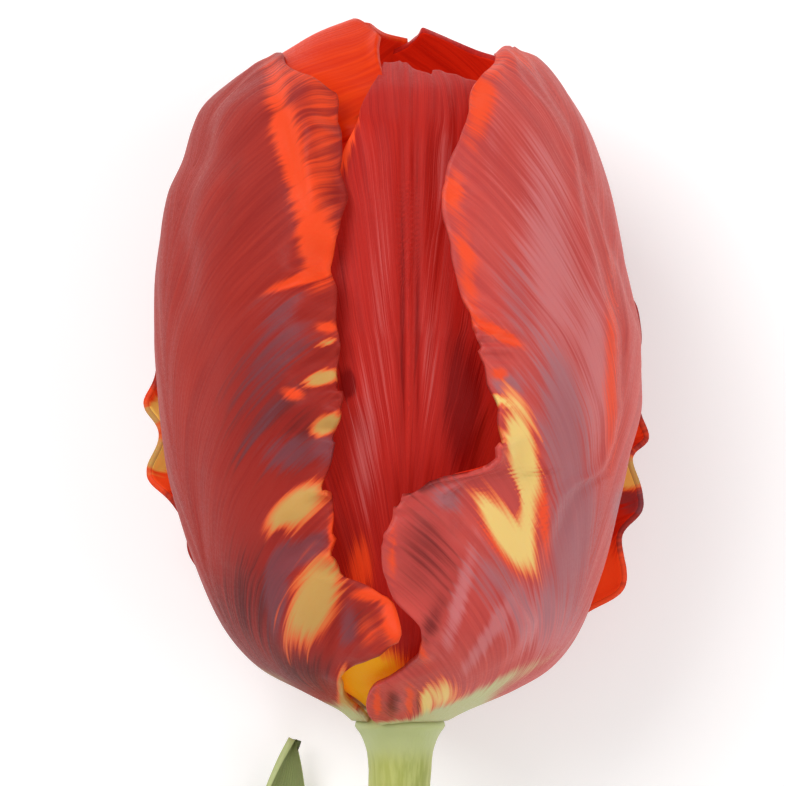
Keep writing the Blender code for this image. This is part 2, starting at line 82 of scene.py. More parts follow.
# How far a margin is torn and how high the skin ripples, and the cells of each along the tepal.
FINE_EDGE = 0.3
FINE_EDGE_CELLS = 26
RIPPLE = 0.14
RIPPLE_CELLS = (16, 3)

# How steeply a bump and a painted oval fade, the most that paint adds up to, the cells of the noise
# lattice each way, the roughness of a material's noise, and a curve that is 0 all along.
BUMP_FALL = 1.5
PATCH_FALL = 1.2
PAINT_LIMIT = 1.3
LATTICE = 97
NOISE_ROUGHNESS = 0.55
FLAT = ((0, 0), (1, 0))

# The cup as seen from the front: height over the receptacle, radius on the left, radius on the right.
CUP = (
    (1.9, 6.3, 6.3), (3, 7.6, 8.4), (4.2, 9.8, 11.2), (5.8, 12.9, 14.8), (8.6, 18.1, 19.4),
    (13.5, 22.6, 23.3), (20, 25.8, 25.8), (27.7, 28.4, 27.8), (35.5, 30.3, 29.6),
    (43.2, 31.2, 31.2), (51, 31.7, 31.4), (57, 31.6, 30), (63.9, 31, 28.5), (69.7, 29.9, 27.2),
    (74.2, 27.9, 25.8), (78, 26.8, 24.4), (80.6, 25.7, 23), (84.5, 21.6, 20.4), (86.8, 18.4, 18.3),
    (88.4, 15.2, 16), (90.4, 10.8, 11.2), (91.8, 6, 6.4),
)


def srgb(red: int, green: int, blue: int) -> Colour:
    """A colour given as it shows on a screen.

    Args:
        red: Red from 0 to 255.
        green: Green from 0 to 255.
        blue: Blue from 0 to 255.

    Returns:
        The same colour as linear values with full alpha.
    """
    parts = [c / 255 for c in (red, green, blue)]
    linear = [c / 12.92 if c <= 0.04045 else ((c + 0.055) / 1.055) ** 2.4 for c in parts]
    return (*linear, 1.0)


def ease(keys: Keys | np.ndarray, x: np.ndarray | float) -> np.ndarray:
    """The smooth curve through keys, without overshoot.

    Args:
        keys: Pairs of position and value.
        x: Where to read the curve.

    Returns:
        The curve's value at each x.
    """
    at, value = np.array(keys, float).T
    slope = np.diff(value) / np.diff(at)
    tangent = np.zeros_like(at)
    before, after = slope[:-1], slope[1:]
    same = before * after > 0
    tangent[1:-1][same] = 2 * before[same] * after[same] / (before[same] + after[same])
    tangent[0], tangent[-1] = slope[0], slope[-1]
    i = np.clip(np.searchsorted(at, x, side="right") - 1, 0, len(at) - 2)
    step = at[i + 1] - at[i]
    f = np.clip((x - at[i]) / step, 0.0, 1.0)
    ends = value[i] * (2 * f**3 - 3 * f**2 + 1) + value[i + 1] * (3 * f**2 - 2 * f**3)
    return ends + step * (tangent[i] * (f**3 - 2 * f**2 + f) + tangent[i + 1] * (f**3 - f**2))


def ramp(x: np.ndarray, start: float, end: float) -> np.ndarray:
    """A smooth step from 0 at start to 1 at end, which falls where end is under start."""
    f = np.clip((x - start) / (end - start), 0.0, 1.0)
    return f * f * (3 - 2 * f)


def bump(x: np.ndarray, centre: float, half_width: float) -> np.ndarray:
    """1 at the centre and near 0 past the half width."""
    return np.exp(-(((x - centre) / half_width) ** 2) * BUMP_FALL)


def lattice_noise(u: np.ndarray, v: np.ndarray, seed: int) -> np.ndarray:
    """Smooth noise on a seeded lattice of random heights.

    Args:
        u: First coordinate, one cell per unit.
        v: Second coordinate, one cell per unit.
        seed: Seed of the lattice.

    Returns:
        Noise between -1 and 1 at each point.
    """
    heights = np.random.default_rng(seed).uniform(-1, 1, (LATTICE, LATTICE))
    i, j = np.floor(u).astype(int), np.floor(v).astype(int)
    f, g = u - i, v - j
    f, g = f * f * (3 - 2 * f), g * g * (3 - 2 * g)
    i0, i1, j0, j1 = (cell % LATTICE for cell in (i, i + 1, j, j + 1))
    low = heights[i0, j0] * (1 - f) + heights[i1, j0] * f
    high = heights[i0, j1] * (1 - f) + heights[i1, j1] * f
    return low * (1 - g) + high * g


CUP_HEIGHT, CUP_LEFT, CUP_RIGHT = np.array(CUP).T
CUP_RUN = np.hypot(np.diff(CUP_HEIGHT), np.diff((CUP_LEFT + CUP_RIGHT) / 2))
CUP_LENGTH = np.concatenate(([0.0], np.cumsum(CUP_RUN)))


def cup_profile(length: np.ndarray, azimuth: np.ndarray) -> tuple[np.ndarray, np.ndarray]:
    """Where the cup's wall stands.

    Args:
        length: Length along the wall from the base.
        azimuth: Angle from the face of the bloom, in radians.

    Returns:
        The radius and the height at each point.
    """
    right = (1 + np.sin(azimuth)) / 2
    left_radius = ease(np.column_stack((CUP_LENGTH, CUP_LEFT)), length)
    right_radius = ease(np.column_stack((CUP_LENGTH, CUP_RIGHT)), length)
    height = ease(np.column_stack((CUP_LENGTH, CUP_HEIGHT)), length)
    return left_radius * (1 - right) + right_radius * right, height


def round_axis(radius: np.ndarray, height: np.ndarray, azimuth: np.ndarray | float) -> np.ndarray:
    """Bloom coordinates of points at a radius, a height and an angle about the bloom's axis."""
    return np.stack((radius * np.sin(azimuth), height, radius * np.cos(azimuth)), axis=-1)


def cup_point(length: np.ndarray, azimuth: np.ndarray, offset: np.ndarray) -> np.ndarray:
    """A point of the cup's wall moved outwards by an offset.

    Args:
        length: Length along the wall from the base, in millimetres.
        azimuth: Angle from the face of the bloom, positive to the right, in radians.
        offset: Distance along the outward normal, in millimetres.

    Returns:
        Bloom coordinates, one row a point.
    """
    radius, height = cup_profile(length, azimuth)
    ahead_radius, ahead_height = cup_profile(length + 0.6, azimuth)
    back_radius, back_height = cup_profile(length - 0.6, azimuth)
    run = np.hypot(ahead_radius - back_radius, ahead_height - back_height)
    radius = radius + offset * (ahead_height - back_height) / run
    height = height - offset * (ahead_radius - back_radius) / run
    return round_axis(radius, height, azimuth)


def length_at(height: np.ndarray) -> np.ndarray:
    """The length along the cup's wall at which the wall reaches a height."""
    return np.interp(height, CUP_HEIGHT, CUP_LENGTH)


def seen_from_front(keys: Keys) -> list[Key]:
    """Turns a margin that is seen from the front into angles.

    Args:
        keys: Height and distance right of the axis, as the photograph shows them, in millimetres.

    Returns:
        Height and angle from the face of the bloom, in degrees.
    """
    result = []
    for height, across in keys:
        radius = float(cup_profile(length_at(height), 0.0)[0])
        result.append((height, math.degrees(math.asin(across / radius))))
    return result


def bloom_to_world(points: np.ndarray, lift: float) -> np.ndarray:
    """Tilts bloom coordinates about the receptacle and lifts them off the floor.

    Args:
        points: Bloom coordinates, one row a point.
        lift: Height of the receptacle over the floor.

    Returns:
        Points in millimetres, with Z up.
    """
    tilt = math.radians(BLOOM_TILT)
    x, y, z = np.moveaxis(points, -1, 0)
    up = y * math.sin(tilt) + z * math.cos(tilt) + lift
    return np.stack((x, y * math.cos(tilt) - z * math.sin(tilt), up), axis=-1)


class Channel(Enum):
    """A colour that is laid over a petal's ground colour, in the order in which it is laid; the dark channel
    also lays painted shade, and the lilac and orange channels also lay painted highlights.
    """

    # Deep red, also used as painted shade in creases, hollows and shaded sides.
    DARK = "dark"
    # Pale lilac haze, also used as painted highlights on lit faces and edges.
    LILAC_AND_HIGHLIGHT = "lilac_and_highlight"
    PURPLE = "purple"
    # Orange flames, also used as painted highlights on rolled margins and lit edges.
    ORANGE_AND_HIGHLIGHT = "orange"
    YELLOW = "yellow"
    CREAM = "cream"


LAYER_FEATHER = {
    Channel.DARK: 1.98,
    Channel.LILAC_AND_HIGHLIGHT: 2.2,
    Channel.PURPLE: 2.42,
    Channel.ORANGE_AND_HIGHLIGHT: 1.98,
    Channel.YELLOW: 1.65,
    Channel.CREAM: 1.54,
}


@dataclass(frozen=True)
class Patch:
    """A soft oval on the face of the bloom, for a colour, for painted shade and painted highlights, and for
    a fold.

    Attributes:
        x: Centre right of the axis.
        y: Centre over the receptacle.
        wide: Half width.
        tall: Half height.
        amount: Strength of the colour, or height of the fold.
        lean: Degrees by which the oval's top leans to the right.
    """

    x: float
    y: float
    wide: float
    tall: float
    amount: float
    lean: float = 0.0

    def weigh(self, x: np.ndarray, y: np.ndarray) -> np.ndarray:
        """How much of the patch lies on points of the face.

        Args:
            x: Distance right of the axis.
            y: Height over the receptacle.

        Returns:
            The amount at each point.
        """
        turn = math.radians(self.lean)
        across = (x - self.x) * math.cos(turn) - (y - self.y) * math.sin(turn)
        along = (x - self.x) * math.sin(turn) + (y - self.y) * math.cos(turn)
        return self.amount * np.exp(-PATCH_FALL * ((across / self.wide) ** 2 + (along / self.tall) ** 2))


def ovals(*rows: tuple[float, ...]) -> tuple[Patch, ...]:
    """Patches from rows of their fields."""
    return tuple(Patch(*row) for row in rows)


@dataclass(frozen=True)
class Frill:
    """One margin's waves, lobes and teeth.

    Attributes:
        reach: How far the waves stand out.
        waves: How many there are.
        phase: Where they begin.
        teeth: How far the cut edge goes in and out.
        inset: How deep into the tepal they fade out.
        lobes: Height, half height, how far out and how wide each lobe is.
        roll: How far the margin rolls out, keyed by the share of the tepal's length.
        ruffles: Height, half height, depth, wavelength and inset of each crinkled stretch.
    """

    reach: float = 0.0
    waves: float = 7.0
    phase: float = 0.0
    teeth: float = 0.0
    inset: float = 0.25
    lobes: Rows = ()
    roll: Keys = FLAT
    ruffles: Rows = ()

    def offset(self, side: np.ndarray, share: np.ndarray, height: np.ndarray) -> np.ndarray:
        """How far the margin stands out of the cup.

        Args:
            side: Place across, 1 on the margin and falling inwards.
            share: Share of the tepal's length.
            height: Height on the margin.

        Returns:
            The distance in millimetres.
        """
        near = ramp(side, 1 - self.inset, 1.0)
        wave = np.sin(2 * math.pi * (self.waves * share + self.phase))
        wave = wave + 0.4 * np.sin(2 * math.pi * (2.3 * self.waves * share + 1.7 * self.phase))
        result = self.reach * near * wave * ramp(share, 0.04, 0.2)
        result = result + ease(self.roll, share) * near * near
        for centre, half, out, _ in self.lobes:
            result = result + out * near * bump(height, centre, half)
        for centre, half, depth, pitch, inset in self.ruffles:
            wave = np.sin(2 * math.pi * height / pitch + 1.3 * np.sin(height))
            result = result + depth * wave * bump(height, centre, half) * ramp(side, 1 - inset, 1.0)
        return result

    def shift(self, share: np.ndarray, height: np.ndarray) -> np.ndarray:
        """How far the margin reaches past its smooth line.

        Args:
            share: Share of the tepal's length.
            height: Height on the margin.

        Returns:
            The distance in millimetres.
        """
        tooth = np.abs(np.sin(math.pi * (self.waves * 1.5 * share + self.phase))) - 0.5
        result = self.teeth * tooth * ramp(share, 0.06, 0.2)
        for centre, half, _, wide in self.lobes:
            result = result + wide * bump(height, centre, half)
        for centre, half, depth, pitch, _ in self.ruffles:
            notch = 1 - 2 * np.abs(np.sin(math.pi * height / pitch + 0.6 * np.sin(height)))
            result = result + 0.7 * depth * notch * bump(height, centre, half)
        return result


def apply_modifiers(obj: bpy.types.Object) -> None:
    """Swaps an object's mesh for what its modifiers make, and removes them.

    Args:
        obj: The object, whose modifiers are live.
    """
    graph = bpy.context.evaluated_depsgraph_get()
    made = bpy.data.meshes.new_from_object(obj.evaluated_get(graph))
    obj.modifiers.clear()
    obj.data = made
    made.name = obj.name


def link_object(name: str, data: object) -> bpy.types.Object:
    """Makes an object in the scene's collection.

    Args:
        name: Name of the object.
        data: Its mesh, light or camera.

    Returns:
        The object, at the origin.
    """
    obj = bpy.data.objects.new(name, data)
    bpy.context.scene.collection.objects.link(obj)
    return obj


def grid_points(across: int, along: int) -> tuple[bpy.types.Mesh, np.ndarray, np.ndarray]:
    """A flat grid of unit size.

    Args:
        across: Cells from side to side.
        along: Cells from end to end.

    Returns:
        The mesh, and each point's place across (-1 to 1) and along (0 to 1).
    """
    bm = bmesh.new()
    bmesh.ops.create_grid(bm, x_segments=across, y_segments=along, size=1.0)
    mesh = bpy.data.meshes.new("grid")
    bm.to_mesh(mesh)
    bm.free()
    flat = np.empty(len(mesh.vertices) * 3, np.float32)
    mesh.vertices.foreach_get("co", flat)
    flat = flat.reshape(-1, 3).astype(float)
    return mesh, flat[:, 0], (flat[:, 1] + 1) / 2


def set_points(mesh: bpy.types.Mesh, points: np.ndarray) -> None:
    """Moves a mesh's points, given in metres."""
    mesh.vertices.foreach_set("co", points.astype(np.float32).ravel())
    mesh.update()


def add_attribute(mesh: bpy.types.Mesh, name: str, values: np.ndarray) -> None:
    """Keeps one number a point on a mesh."""
    layer = mesh.attributes.new(name, "FLOAT", "POINT")
    layer.data.foreach_set("value", values.astype(np.float32).ravel())


def add_vein_map(mesh: bpy.types.Mesh, across: np.ndarray, along: np.ndarray) -> None:
    """Gives a mesh a UV map whose lines of constant U are its veins.

    Args:
        mesh: The mesh.
        across: The number of each point's vein.
        along: Each point's place along it.
    """
    layer = mesh.uv_layers.new(name="veins")
    corner = np.empty(len(mesh.loops), np.int32)
    mesh.loops.foreach_get("vertex_index", corner)
    pairs = np.stack((across[corner], along[corner]), axis=-1)
    layer.data.foreach_set("uv", pairs.astype(np.float32).ravel())


def thicken(obj: bpy.types.Object, thickness: float, inner_slot: int = 0) -> None:
    """Turns an open blade into a closed one.

    Args:
        obj: The blade.
        thickness: Its thickness in millimetres.
        inner_slot: How many material slots on the inner face's material is.
    """
    solid = obj.modifiers.new("Thickness", "SOLIDIFY")
    solid.thickness = thickness * MM
    solid.offset = -1.0
    solid.material_offset = inner_slot
    apply_modifiers(obj)


def dress(obj: bpy.types.Object, node: str) -> bpy.types.Object:
    """Rides a piece on the root, in place of its node.

    Args:
        obj: The finished piece.
        node: The node that it stands for.

    Returns:
        The piece.
    """
    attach(obj, "root")
    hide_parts(node)
    return obj


@dataclass(frozen=True)
class Resting:
    """Where the bloom rests: how high its receptacle is and where its flat spot is along Y."""

    lift: float
    rest_y: float

    @classmethod
    def on(cls, back: Tepal) -> Resting:
        """Finds the rest of the bloom on its back tepal.

        Args:
            back: The back tepal, which the bloom lies on.

        Returns:
            The place of rest.
        """
        t, s = np.meshgrid(np.linspace(-0.3, 0.3, 61), np.linspace(0, 1, 161))
        points = bloom_to_world(back.surface(t, s, fine=False)[0], 0.0)
        lift = float(-points[..., 2].min() - FLAT_SPOT_DEPTH)
        return cls(lift, float(points[..., 1][points[..., 2] + lift < 0].mean()))

    def place(self, bloom: np.ndarray) -> np.ndarray:
        """World coordinates in metres of points in bloom coordinates, none under the floor."""
        return self.settle(bloom_to_world(bloom, self.lift))

    def settle(self, points: np.ndarray) -> np.ndarray:
        """Moves points to the origin on the flat spot, none under the floor.

        Args:
            points: Points in millimetres, with Z up.

        Returns:
            World coordinates in metres.
        """
        moved = points - np.array((0.0, self.rest_y, 0.0))
        moved[..., 2] = np.maximum(moved[..., 2], 0.0)
        return moved * MM


class Wiring:
    """Short calls for adding and linking the nodes of one tree."""

    def __init__(self, tree: bpy.types.NodeTree) -> None:
        """Keeps the tree that the calls add to."""
        self.tree = tree

    def node(
        self, kind: str, inputs: dict[str | int, object] | None = None, **settings: object
    ) -> bpy.types.Node:
        """Adds a node.

        Args:
            kind: The node's type.
            inputs: What goes into its sockets, by name or number.
            settings: Its properties.

        Returns:
            The node.
        """
        made = self.tree.nodes.new(kind)
        for key, value in settings.items():
            setattr(made, key, value)
        for key, value in (inputs or {}).items():
            self.feed(made.inputs[key], value)
        return made

    def feed(self, socket: bpy.types.NodeSocket, value: object) -> None:
        """Links a socket, or sets it if the value isn't a socket.

        Args:
            socket: The input.
            value: An output to link, or a plain value.
        """
        if isinstance(value, bpy.types.NodeSocket):
            self.tree.links.new(value, socket)
        else:
            socket.default_value = value


class Skin(Wiring):
    """One material's nodes round its Principled shader."""

    def __init__(self, name: str) -> None:
        """Starts the material.

        Args:
            name: Name of the material.
        """
        self.material = bpy.data.materials.new(name)
        self.material.use_nodes = True
        super().__init__(self.material.node_tree)
        self.shader = self.tree.nodes["Principled BSDF"]

    def shade(self, inputs: dict[str, object]) -> None:
        """Feeds the shader's inputs by name."""
        for name, value in inputs.items():
            self.feed(self.shader.inputs[name], value)

    def place(self) -> bpy.types.NodeSocket:
        """The piece's own coordinates."""
        return self.node("ShaderNodeTexCoord").outputs["Object"]

    def veins(self) -> bpy.types.NodeSocket:
        """The piece's vein map."""
        return self.node("ShaderNodeUVMap", uv_map="veins").outputs[0]

    def attribute(self, name: str) -> bpy.types.NodeSocket:
        """The factor of one of the mesh's own attributes."""
        return self.node("ShaderNodeAttribute", attribute_name=name).outputs["Fac"]

    def math(self, operation: str, a: object, b: object) -> bpy.types.NodeSocket:
        """A Math node's result."""
        return self.node("ShaderNodeMath", {0: a, 1: b}, operation=operation).outputs[0]

    def mix(self, factor: object, a: object, b: object) -> bpy.types.NodeSocket:
        """A colour mixed from a to b."""
        return self.node("ShaderNodeMix", {"Factor": factor, 6: a, 7: b}, data_type="RGBA").outputs[2]

    def spread(self, value: object, low: float, high: float, top: float = 1.0) -> bpy.types.NodeSocket:
        """A value mapped smoothly from low..high to 0..top."""
        inputs = {"Value": value, "From Min": low, "From Max": high, "To Max": top}
        return self.node("ShaderNodeMapRange", inputs, interpolation_type="SMOOTHSTEP").outputs[0]

    def noise(self, vector: object, scale: Triple, detail: float) -> bpy.types.NodeSocket:
        """Noise with its own scale along each axis.

        Args:
            vector: Where it is read.
            scale: Cells per unit along each axis.
            detail: How many octaves it has.

        Returns:
            The noise, about 0.5 on the whole.
        """
        scaled = self.node("ShaderNodeMapping", {"Vector": vector, "Scale": scale}).outputs[0]
        inputs = {"Vector": scaled, "Scale": 1.0, "Detail": detail, "Roughness": NOISE_ROUGHNESS}
        return self.node("ShaderNodeTexNoise", inputs).outputs["Fac"]

    def emboss(self, height: object, strength: float, distance: float) -> None:
        """Gives the shader a bump."""
        inputs = {"Strength": strength, "Distance": distance, "Height": height}
        self.shade({"Normal": self.node("ShaderNodeBump", inputs).outputs[0]})

    def soften(self, weight: float, radius: Triple, scale: float) -> None:
        """Lets some light into the tissue."""
        self.shade({"Subsurface Weight": weight, "Subsurface Radius": radius, "Subsurface Scale": scale})


@dataclass(frozen=True)
class PetalFinish:
    """How a petal's skin looks: its ground colours and the colour of each channel laid over them.

    Painted glow is an emission that paints in the light that would come through the petal from behind.
    """

    name: str
    ground: Colour
    vein: Colour
    roughness: float = 0.42
    # The dark colour also paints shade; the lilac and orange colours also paint highlights.
    dark: Colour = srgb(110, 14, 14)
    lilac_and_highlight: Colour = srgb(188, 96, 94)
    purple: Colour = srgb(124, 60, 62)
    orange: Colour = srgb(238, 74, 30)
    yellow: Colour = srgb(240, 198, 96)
    cream: Colour = srgb(194, 192, 138)
    # Strength of an emission that paints in light shining through the petal.
    painted_glow: float = 0.0
    specular: float = 0.3

    def material(self) -> bpy.types.Material:
        """The skin, with each channel's colour feathered along the veins, painted shade and painted
        highlights among them, and an emission that paints a glow.

        Returns:
            A material that reads the petal's vein map and its channel attributes.
        """
        skin = Skin(self.name)
        veins = skin.veins()
        fine, broad = skin.noise(veins, (130, 7, 1), 4.0), skin.noise(veins, (30, 3, 1), 3.0)
        streak = skin.math("ADD", skin.math("MULTIPLY", fine, 0.55), skin.math("MULTIPLY", broad, 0.45))
        colour = skin.mix(skin.spread(streak, 0.32, 0.68), self.vein, self.ground)
        centred = skin.math("SUBTRACT", streak, 0.5)
        # Lays each channel in turn, painted shade and painted highlights along with the real colours.
        for channel in Channel:
            painted = skin.attribute(channel.value)
            feather = skin.math("MULTIPLY", centred, LAYER_FEATHER[channel])
            feather = skin.math("MULTIPLY", feather, skin.spread(painted, 0.0, 0.12))
            laid = skin.math("ADD", painted, feather)
            if channel is Channel.YELLOW:
                colour = skin.mix(skin.spread(laid, 0.14, 0.44, 0.9), colour, self.orange)
            strength = 0.7 if channel in (Channel.LILAC_AND_HIGHLIGHT, Channel.PURPLE) else 1.0
            colour = skin.mix(skin.spread(laid, 0.2, 0.8, strength), colour, getattr(self, channel.value))
        cells = skin.noise(skin.place(), (2600, 2600, 2600), 1.0)
        # The emission paints a glow into the petal, in the petal's own colour.
        skin.shade({
            "Base Color": colour,
            "Roughness": skin.math("ADD", skin.spread(cells, 0.2, 0.8, 0.14), self.roughness),
            "Specular IOR Level": self.specular,
            "Emission Color": colour,
            "Emission Strength": self.painted_glow,
        })
        skin.emboss(skin.math("ADD", streak, skin.math("MULTIPLY", cells, 0.12)), 0.5, 0.00022)
        skin.soften(0.18, (1.0, 0.18, 0.08), 0.0016)
        return skin.material


@dataclass(frozen=True)
class PlainFinish:
    """How an inner organ looks: two colours mixed by a grain."""

    name: str
    low: Colour
    high: Colour
    grain: float
    roughness: float

    def material(self) -> bpy.types.Material:
        """The organ's skin.

        Returns:
            A material that reads the piece's own coordinates.
        """
        skin = Skin(self.name)
        grain = skin.noise(skin.place(), (self.grain,) * 3, 4.0)
        skin.shade({
            "Base Color": skin.mix(skin.spread(grain, 0.3, 0.7), self.low, self.high),
            "Roughness": self.roughness,
        })
        skin.emboss(grain, 0.4, 0.0002)
        skin.soften(0.1, (1.0, 0.8, 0.4), 0.001)
        return skin.material


@dataclass(frozen=True)
class StemFinish:
    """How the stem looks: ribbed green, pale at its neck and on its cut."""

    name: str = "stem_skin"
    deep: Colour = srgb(150, 158, 72)
    light: Colour = srgb(176, 180, 92)
    rib: Colour = srgb(196, 200, 120)
    neck: Colour = srgb(182, 189, 128)
    cut: Colour = srgb(206, 208, 150)

    def material(self) -> bpy.types.Material:
        """The stem's skin.

        Returns:
            A material that reads the neck and cut attributes.
        """
        skin = Skin(self.name)
        place = skin.place()
        ribs, patches = skin.noise(place, (1500, 40, 1500), 3.0), skin.noise(place, (120, 60, 120), 3.0)
        green = skin.mix(skin.spread(patches, 0.3, 0.7), self.deep, self.light)
        green = skin.mix(skin.spread(ribs, 0.35, 0.65, 0.5), green, self.rib)
        green = skin.mix(skin.spread(skin.attribute("neck"), 0.1, 0.9), green, self.neck)
        green = skin.mix(skin.spread(skin.attribute("cut"), 0.3, 0.7), green, self.cut)
        skin.shade({"Base Color": green, "Roughness": 0.48})
        skin.emboss(ribs, 0.35, 0.00015)
        skin.soften(0.2, (0.8, 1.0, 0.3), 0.0015)
        return skin.material


@dataclass(frozen=True)
class LeafFinish:
    """How a leaf looks: ribbed green with a waxy bloom and a pale rim."""

    name: str = "leaf_skin"
    deep: Colour = srgb(112, 124, 62)
    light: Colour = srgb(134, 146, 78)
    bloom: Colour = srgb(146, 158, 108)
    rim: Colour = srgb(184, 194, 132)

    def material(self) -> bpy.types.Material:
        """The leaf's skin.

        Returns:
            A material that reads the leaf's vein map and its rim attribute.
        """
        skin = Skin(self.name)
        ribs = skin.noise(skin.veins(), (120, 2, 1), 3.0)
        wax = skin.noise(skin.place(), (90, 30, 90), 4.0)
        green = skin.mix(skin.spread(ribs, 0.35, 0.65), self.deep, self.light)
        green = skin.mix(skin.spread(wax, 0.4, 0.7, 0.5), green, self.bloom)
        green = skin.mix(skin.spread(skin.attribute("rim"), 0.4, 1.0), green, self.rim)
        skin.shade({"Base Color": green, "Roughness": 0.52})
        skin.emboss(ribs, 0.4, 0.0002)
        skin.soften(0.15, (0.6, 1.0, 0.3), 0.0012)
        return skin.material


PISTIL_FINISH = PlainFinish("pistil", srgb(150, 165, 84), srgb(196, 200, 130), 160.0, 0.4)
FILAMENT_FINISH = PlainFinish("filament", srgb(216, 206, 150), srgb(188, 150, 90), 300.0, 0.45)
ANTHER_FINISH = PlainFinish("anther", srgb(44, 26, 38), srgb(20, 12, 20), 500.0, 0.8)
POLLEN_FINISH = PlainFinish("pollen", srgb(74, 54, 40), srgb(50, 32, 40), 900.0, 0.9)


class Finishes:
    """The materials, each made once from its finish."""

    def __init__(self) -> None:
        """Starts with none made."""
        self._made: dict[str, bpy.types.Material] = {}

    def of(self, finish: PetalFinish | PlainFinish | StemFinish | LeafFinish) -> bpy.types.Material:
        """The material of a finish.

        Args:
            finish: The finish.

        Returns:
            Its material, made on first use.
        """
        if finish.name not in self._made:
            self._made[finish.name] = finish.material()
        return self._made[finish.name]


@dataclass
class Tepal:
    """One tepal of the cup, with angles from the face of the bloom, positive to the right.

    Attributes:
        slot: Material slot of its node; not used.
        finish: Its outer skin.
        low_margin: Angle of the margin with the lower angles, by height.
        high_margin: Angle of the other margin.
        top: Height of the top edge by place across, -1 on the low margin to 1 on the high one.
        layer: Distance out of the cup by share of the tepal's length.
        across: Cells of the grid from margin to margin.
        along: Cells of the grid from base to top.
        low: Frill of the low margin.
        high: Frill of the high margin.
        hollow: Distance out of the cup along the middle, by share.
        creases: Start share and place, end share and place, depth and half width of each crease.
        flap: How far the torn lower flap stands out.
        folds: Ovals that stand out or in.
        paint: Ovals of each colour, some of them painted shade and painted highlights.
        rib: Angle of the midrib.
        vein_reach: How steeply the veins leave the midrib.
        seed: Seed of the torn edges and ripples.
    """

    name: str
    slot: str
    finish: PetalFinish
    low_margin: Keys
    high_margin: Keys
    top: Keys
    layer: Keys
    across: int = 110
    along: int = 190
    low: Frill = field(default_factory=Frill)
    high: Frill = field(default_factory=Frill)
    hollow: Keys = FLAT
    creases: Rows = ()
    flap: float = 0.0
    folds: tuple[Patch, ...] = ()
    paint: dict[Channel, tuple[Patch, ...]] = field(default_factory=dict)
    rib: float = 0.0
    vein_reach: float = 0.55
    seed: int = 1

    def surface(self, t: np.ndarray, s: np.ndarray, fine: bool = True) -> tuple[np.ndarray, np.ndarray]:
        """The tepal's outer face.

        Args:
            t: Place across, -1 at the low margin to 1 at the high margin.
            s: Place along, 0 at the base to 1 at the top edge.
            fine: Whether the folds and fine frills are laid on.

        Returns:
            Bloom coordinates, and the points of the smooth cup that they stand over.
        """
        low_height = np.interp(length_at(ease(self.top, -1.0)) * s, CUP_LENGTH, CUP_HEIGHT)
        high_height = np.interp(length_at(ease(self.top, 1.0)) * s, CUP_LENGTH, CUP_HEIGHT)
        length = length_at(ease(self.top, t)) * s
        radius = cup_profile(length, 0.0)[0]
        low_shift, high_shift = self.low.shift(s, low_height), self.high.shift(s, high_height)
        if fine:
            open_part, cells = ramp(s, 0.06, 0.2), FINE_EDGE_CELLS * s
            low_shift = low_shift + FINE_EDGE * lattice_noise(cells, 0 * s, self.seed) * open_part
            high_shift = high_shift + FINE_EDGE * lattice_noise(cells, 0 * s, self.seed + 7) * open_part
        low_angle = ease(self.low_margin, low_height) - np.degrees(low_shift / radius)
        high_angle = ease(self.high_margin, high_height) + np.degrees(high_shift / radius)
        azimuth = np.radians(low_angle + (high_angle - low_angle) * (t + 1) / 2)
        offset = ease(self.layer, s) + ease(self.hollow, s) * (1 - t * t)
        offset = offset + self.low.offset(-t, s, low_height) + self.high.offset(t, s, high_height)
        for s0, t0, s1, t1, depth, half in self.creases:
            line = t0 + (t1 - t0) * (s - s0) / (s1 - s0)
            inside = ramp(s, s0 - 0.06, s0 + 0.06) * ramp(s, s1 + 0.06, s1 - 0.06)
            offset = offset - depth * bump(t, line, half) * inside
        offset = offset + self.flap * flap_step(t, s)
        smooth = cup_point(length, azimuth, 0 * azimuth)
        if fine:
            front = ramp(smooth[..., 2], -8.0, 2.0)
            for fold in self.folds:
                offset = offset + fold.weigh(smooth[..., 0], smooth[..., 1]) * front
            u, v = RIPPLE_CELLS[0] * self.veins(smooth, s) + 40, RIPPLE_CELLS[1] * s
            ripple = lattice_noise(u, v, self.seed + 3)
            offset = offset + RIPPLE * ripple * ramp(s, 0.05, 0.3)
        return cup_point(length, azimuth, offset), smooth

    def veins(self, smooth: np.ndarray, s: np.ndarray) -> np.ndarray:
        """The number of the vein through a point.

        Args:
            smooth: Points of the smooth cup, in bloom coordinates.
            s: The points' places along the tepal.

        Returns:
            A number that is constant along a vein. Veins leave the midrib steeply and bend outwards.
        """
        azimuth = np.degrees(np.arctan2(smooth[..., 0], smooth[..., 2]))
        away = np.abs((azimuth - self.rib + 180) % 360 - 180) / 60
        return s - self.vein_reach * np.sqrt(away + 0.002)

    def painted(self, channel: Channel, points: np.ndarray) -> np.ndarray:
        """How strongly a channel's colour is laid on each point."""
        x, y = points[:, 0], points[:, 1]
        return np.clip(0 * x + sum(oval.weigh(x, y) for oval in self.paint.get(channel, ())), 0, PAINT_LIMIT)

    def build(self, resting: Resting, finishes: Finishes) -> bpy.types.Object:
        """Builds and dresses the tepal.

        Args:
            resting: Where the bloom rests.
            finishes: The shared materials.

        Returns:
            The tepal's piece.
        """
        mesh, t, s = grid_points(self.across, self.along)
        points, smooth = self.surface(t, s)
        set_points(mesh, resting.place(points))
        add_vein_map(mesh, self.veins(smooth, s), s)
        for channel in Channel:
            add_attribute(mesh, channel.value, self.painted(channel, points))
        mesh.materials.append(finishes.of(self.finish))
        mesh.materials.append(finishes.of(INSIDE_PETAL))
        mesh.shade_smooth()
        obj = link_object("petal_" + self.name, mesh)
        thicken(obj, TEPAL_THICKNESS, inner_slot=1)
        return dress(obj, self.name)


def flap_step(t: np.ndarray, s: np.ndarray) -> np.ndarray:
    """1 on the lower flap of the right tepal, whose torn edge runs down from its notch."""
    edge = FLAP_TOP + (t - FLAP_NOTCH) * FLAP_SLOPE + 0.010 * lattice_noise(16 * (t + 1), 0 * t, 5)
    return ramp(s, edge + 0.014, edge - 0.014) * ramp(s, 0.12, 0.24) * ramp(t, -0.3, -0.5)


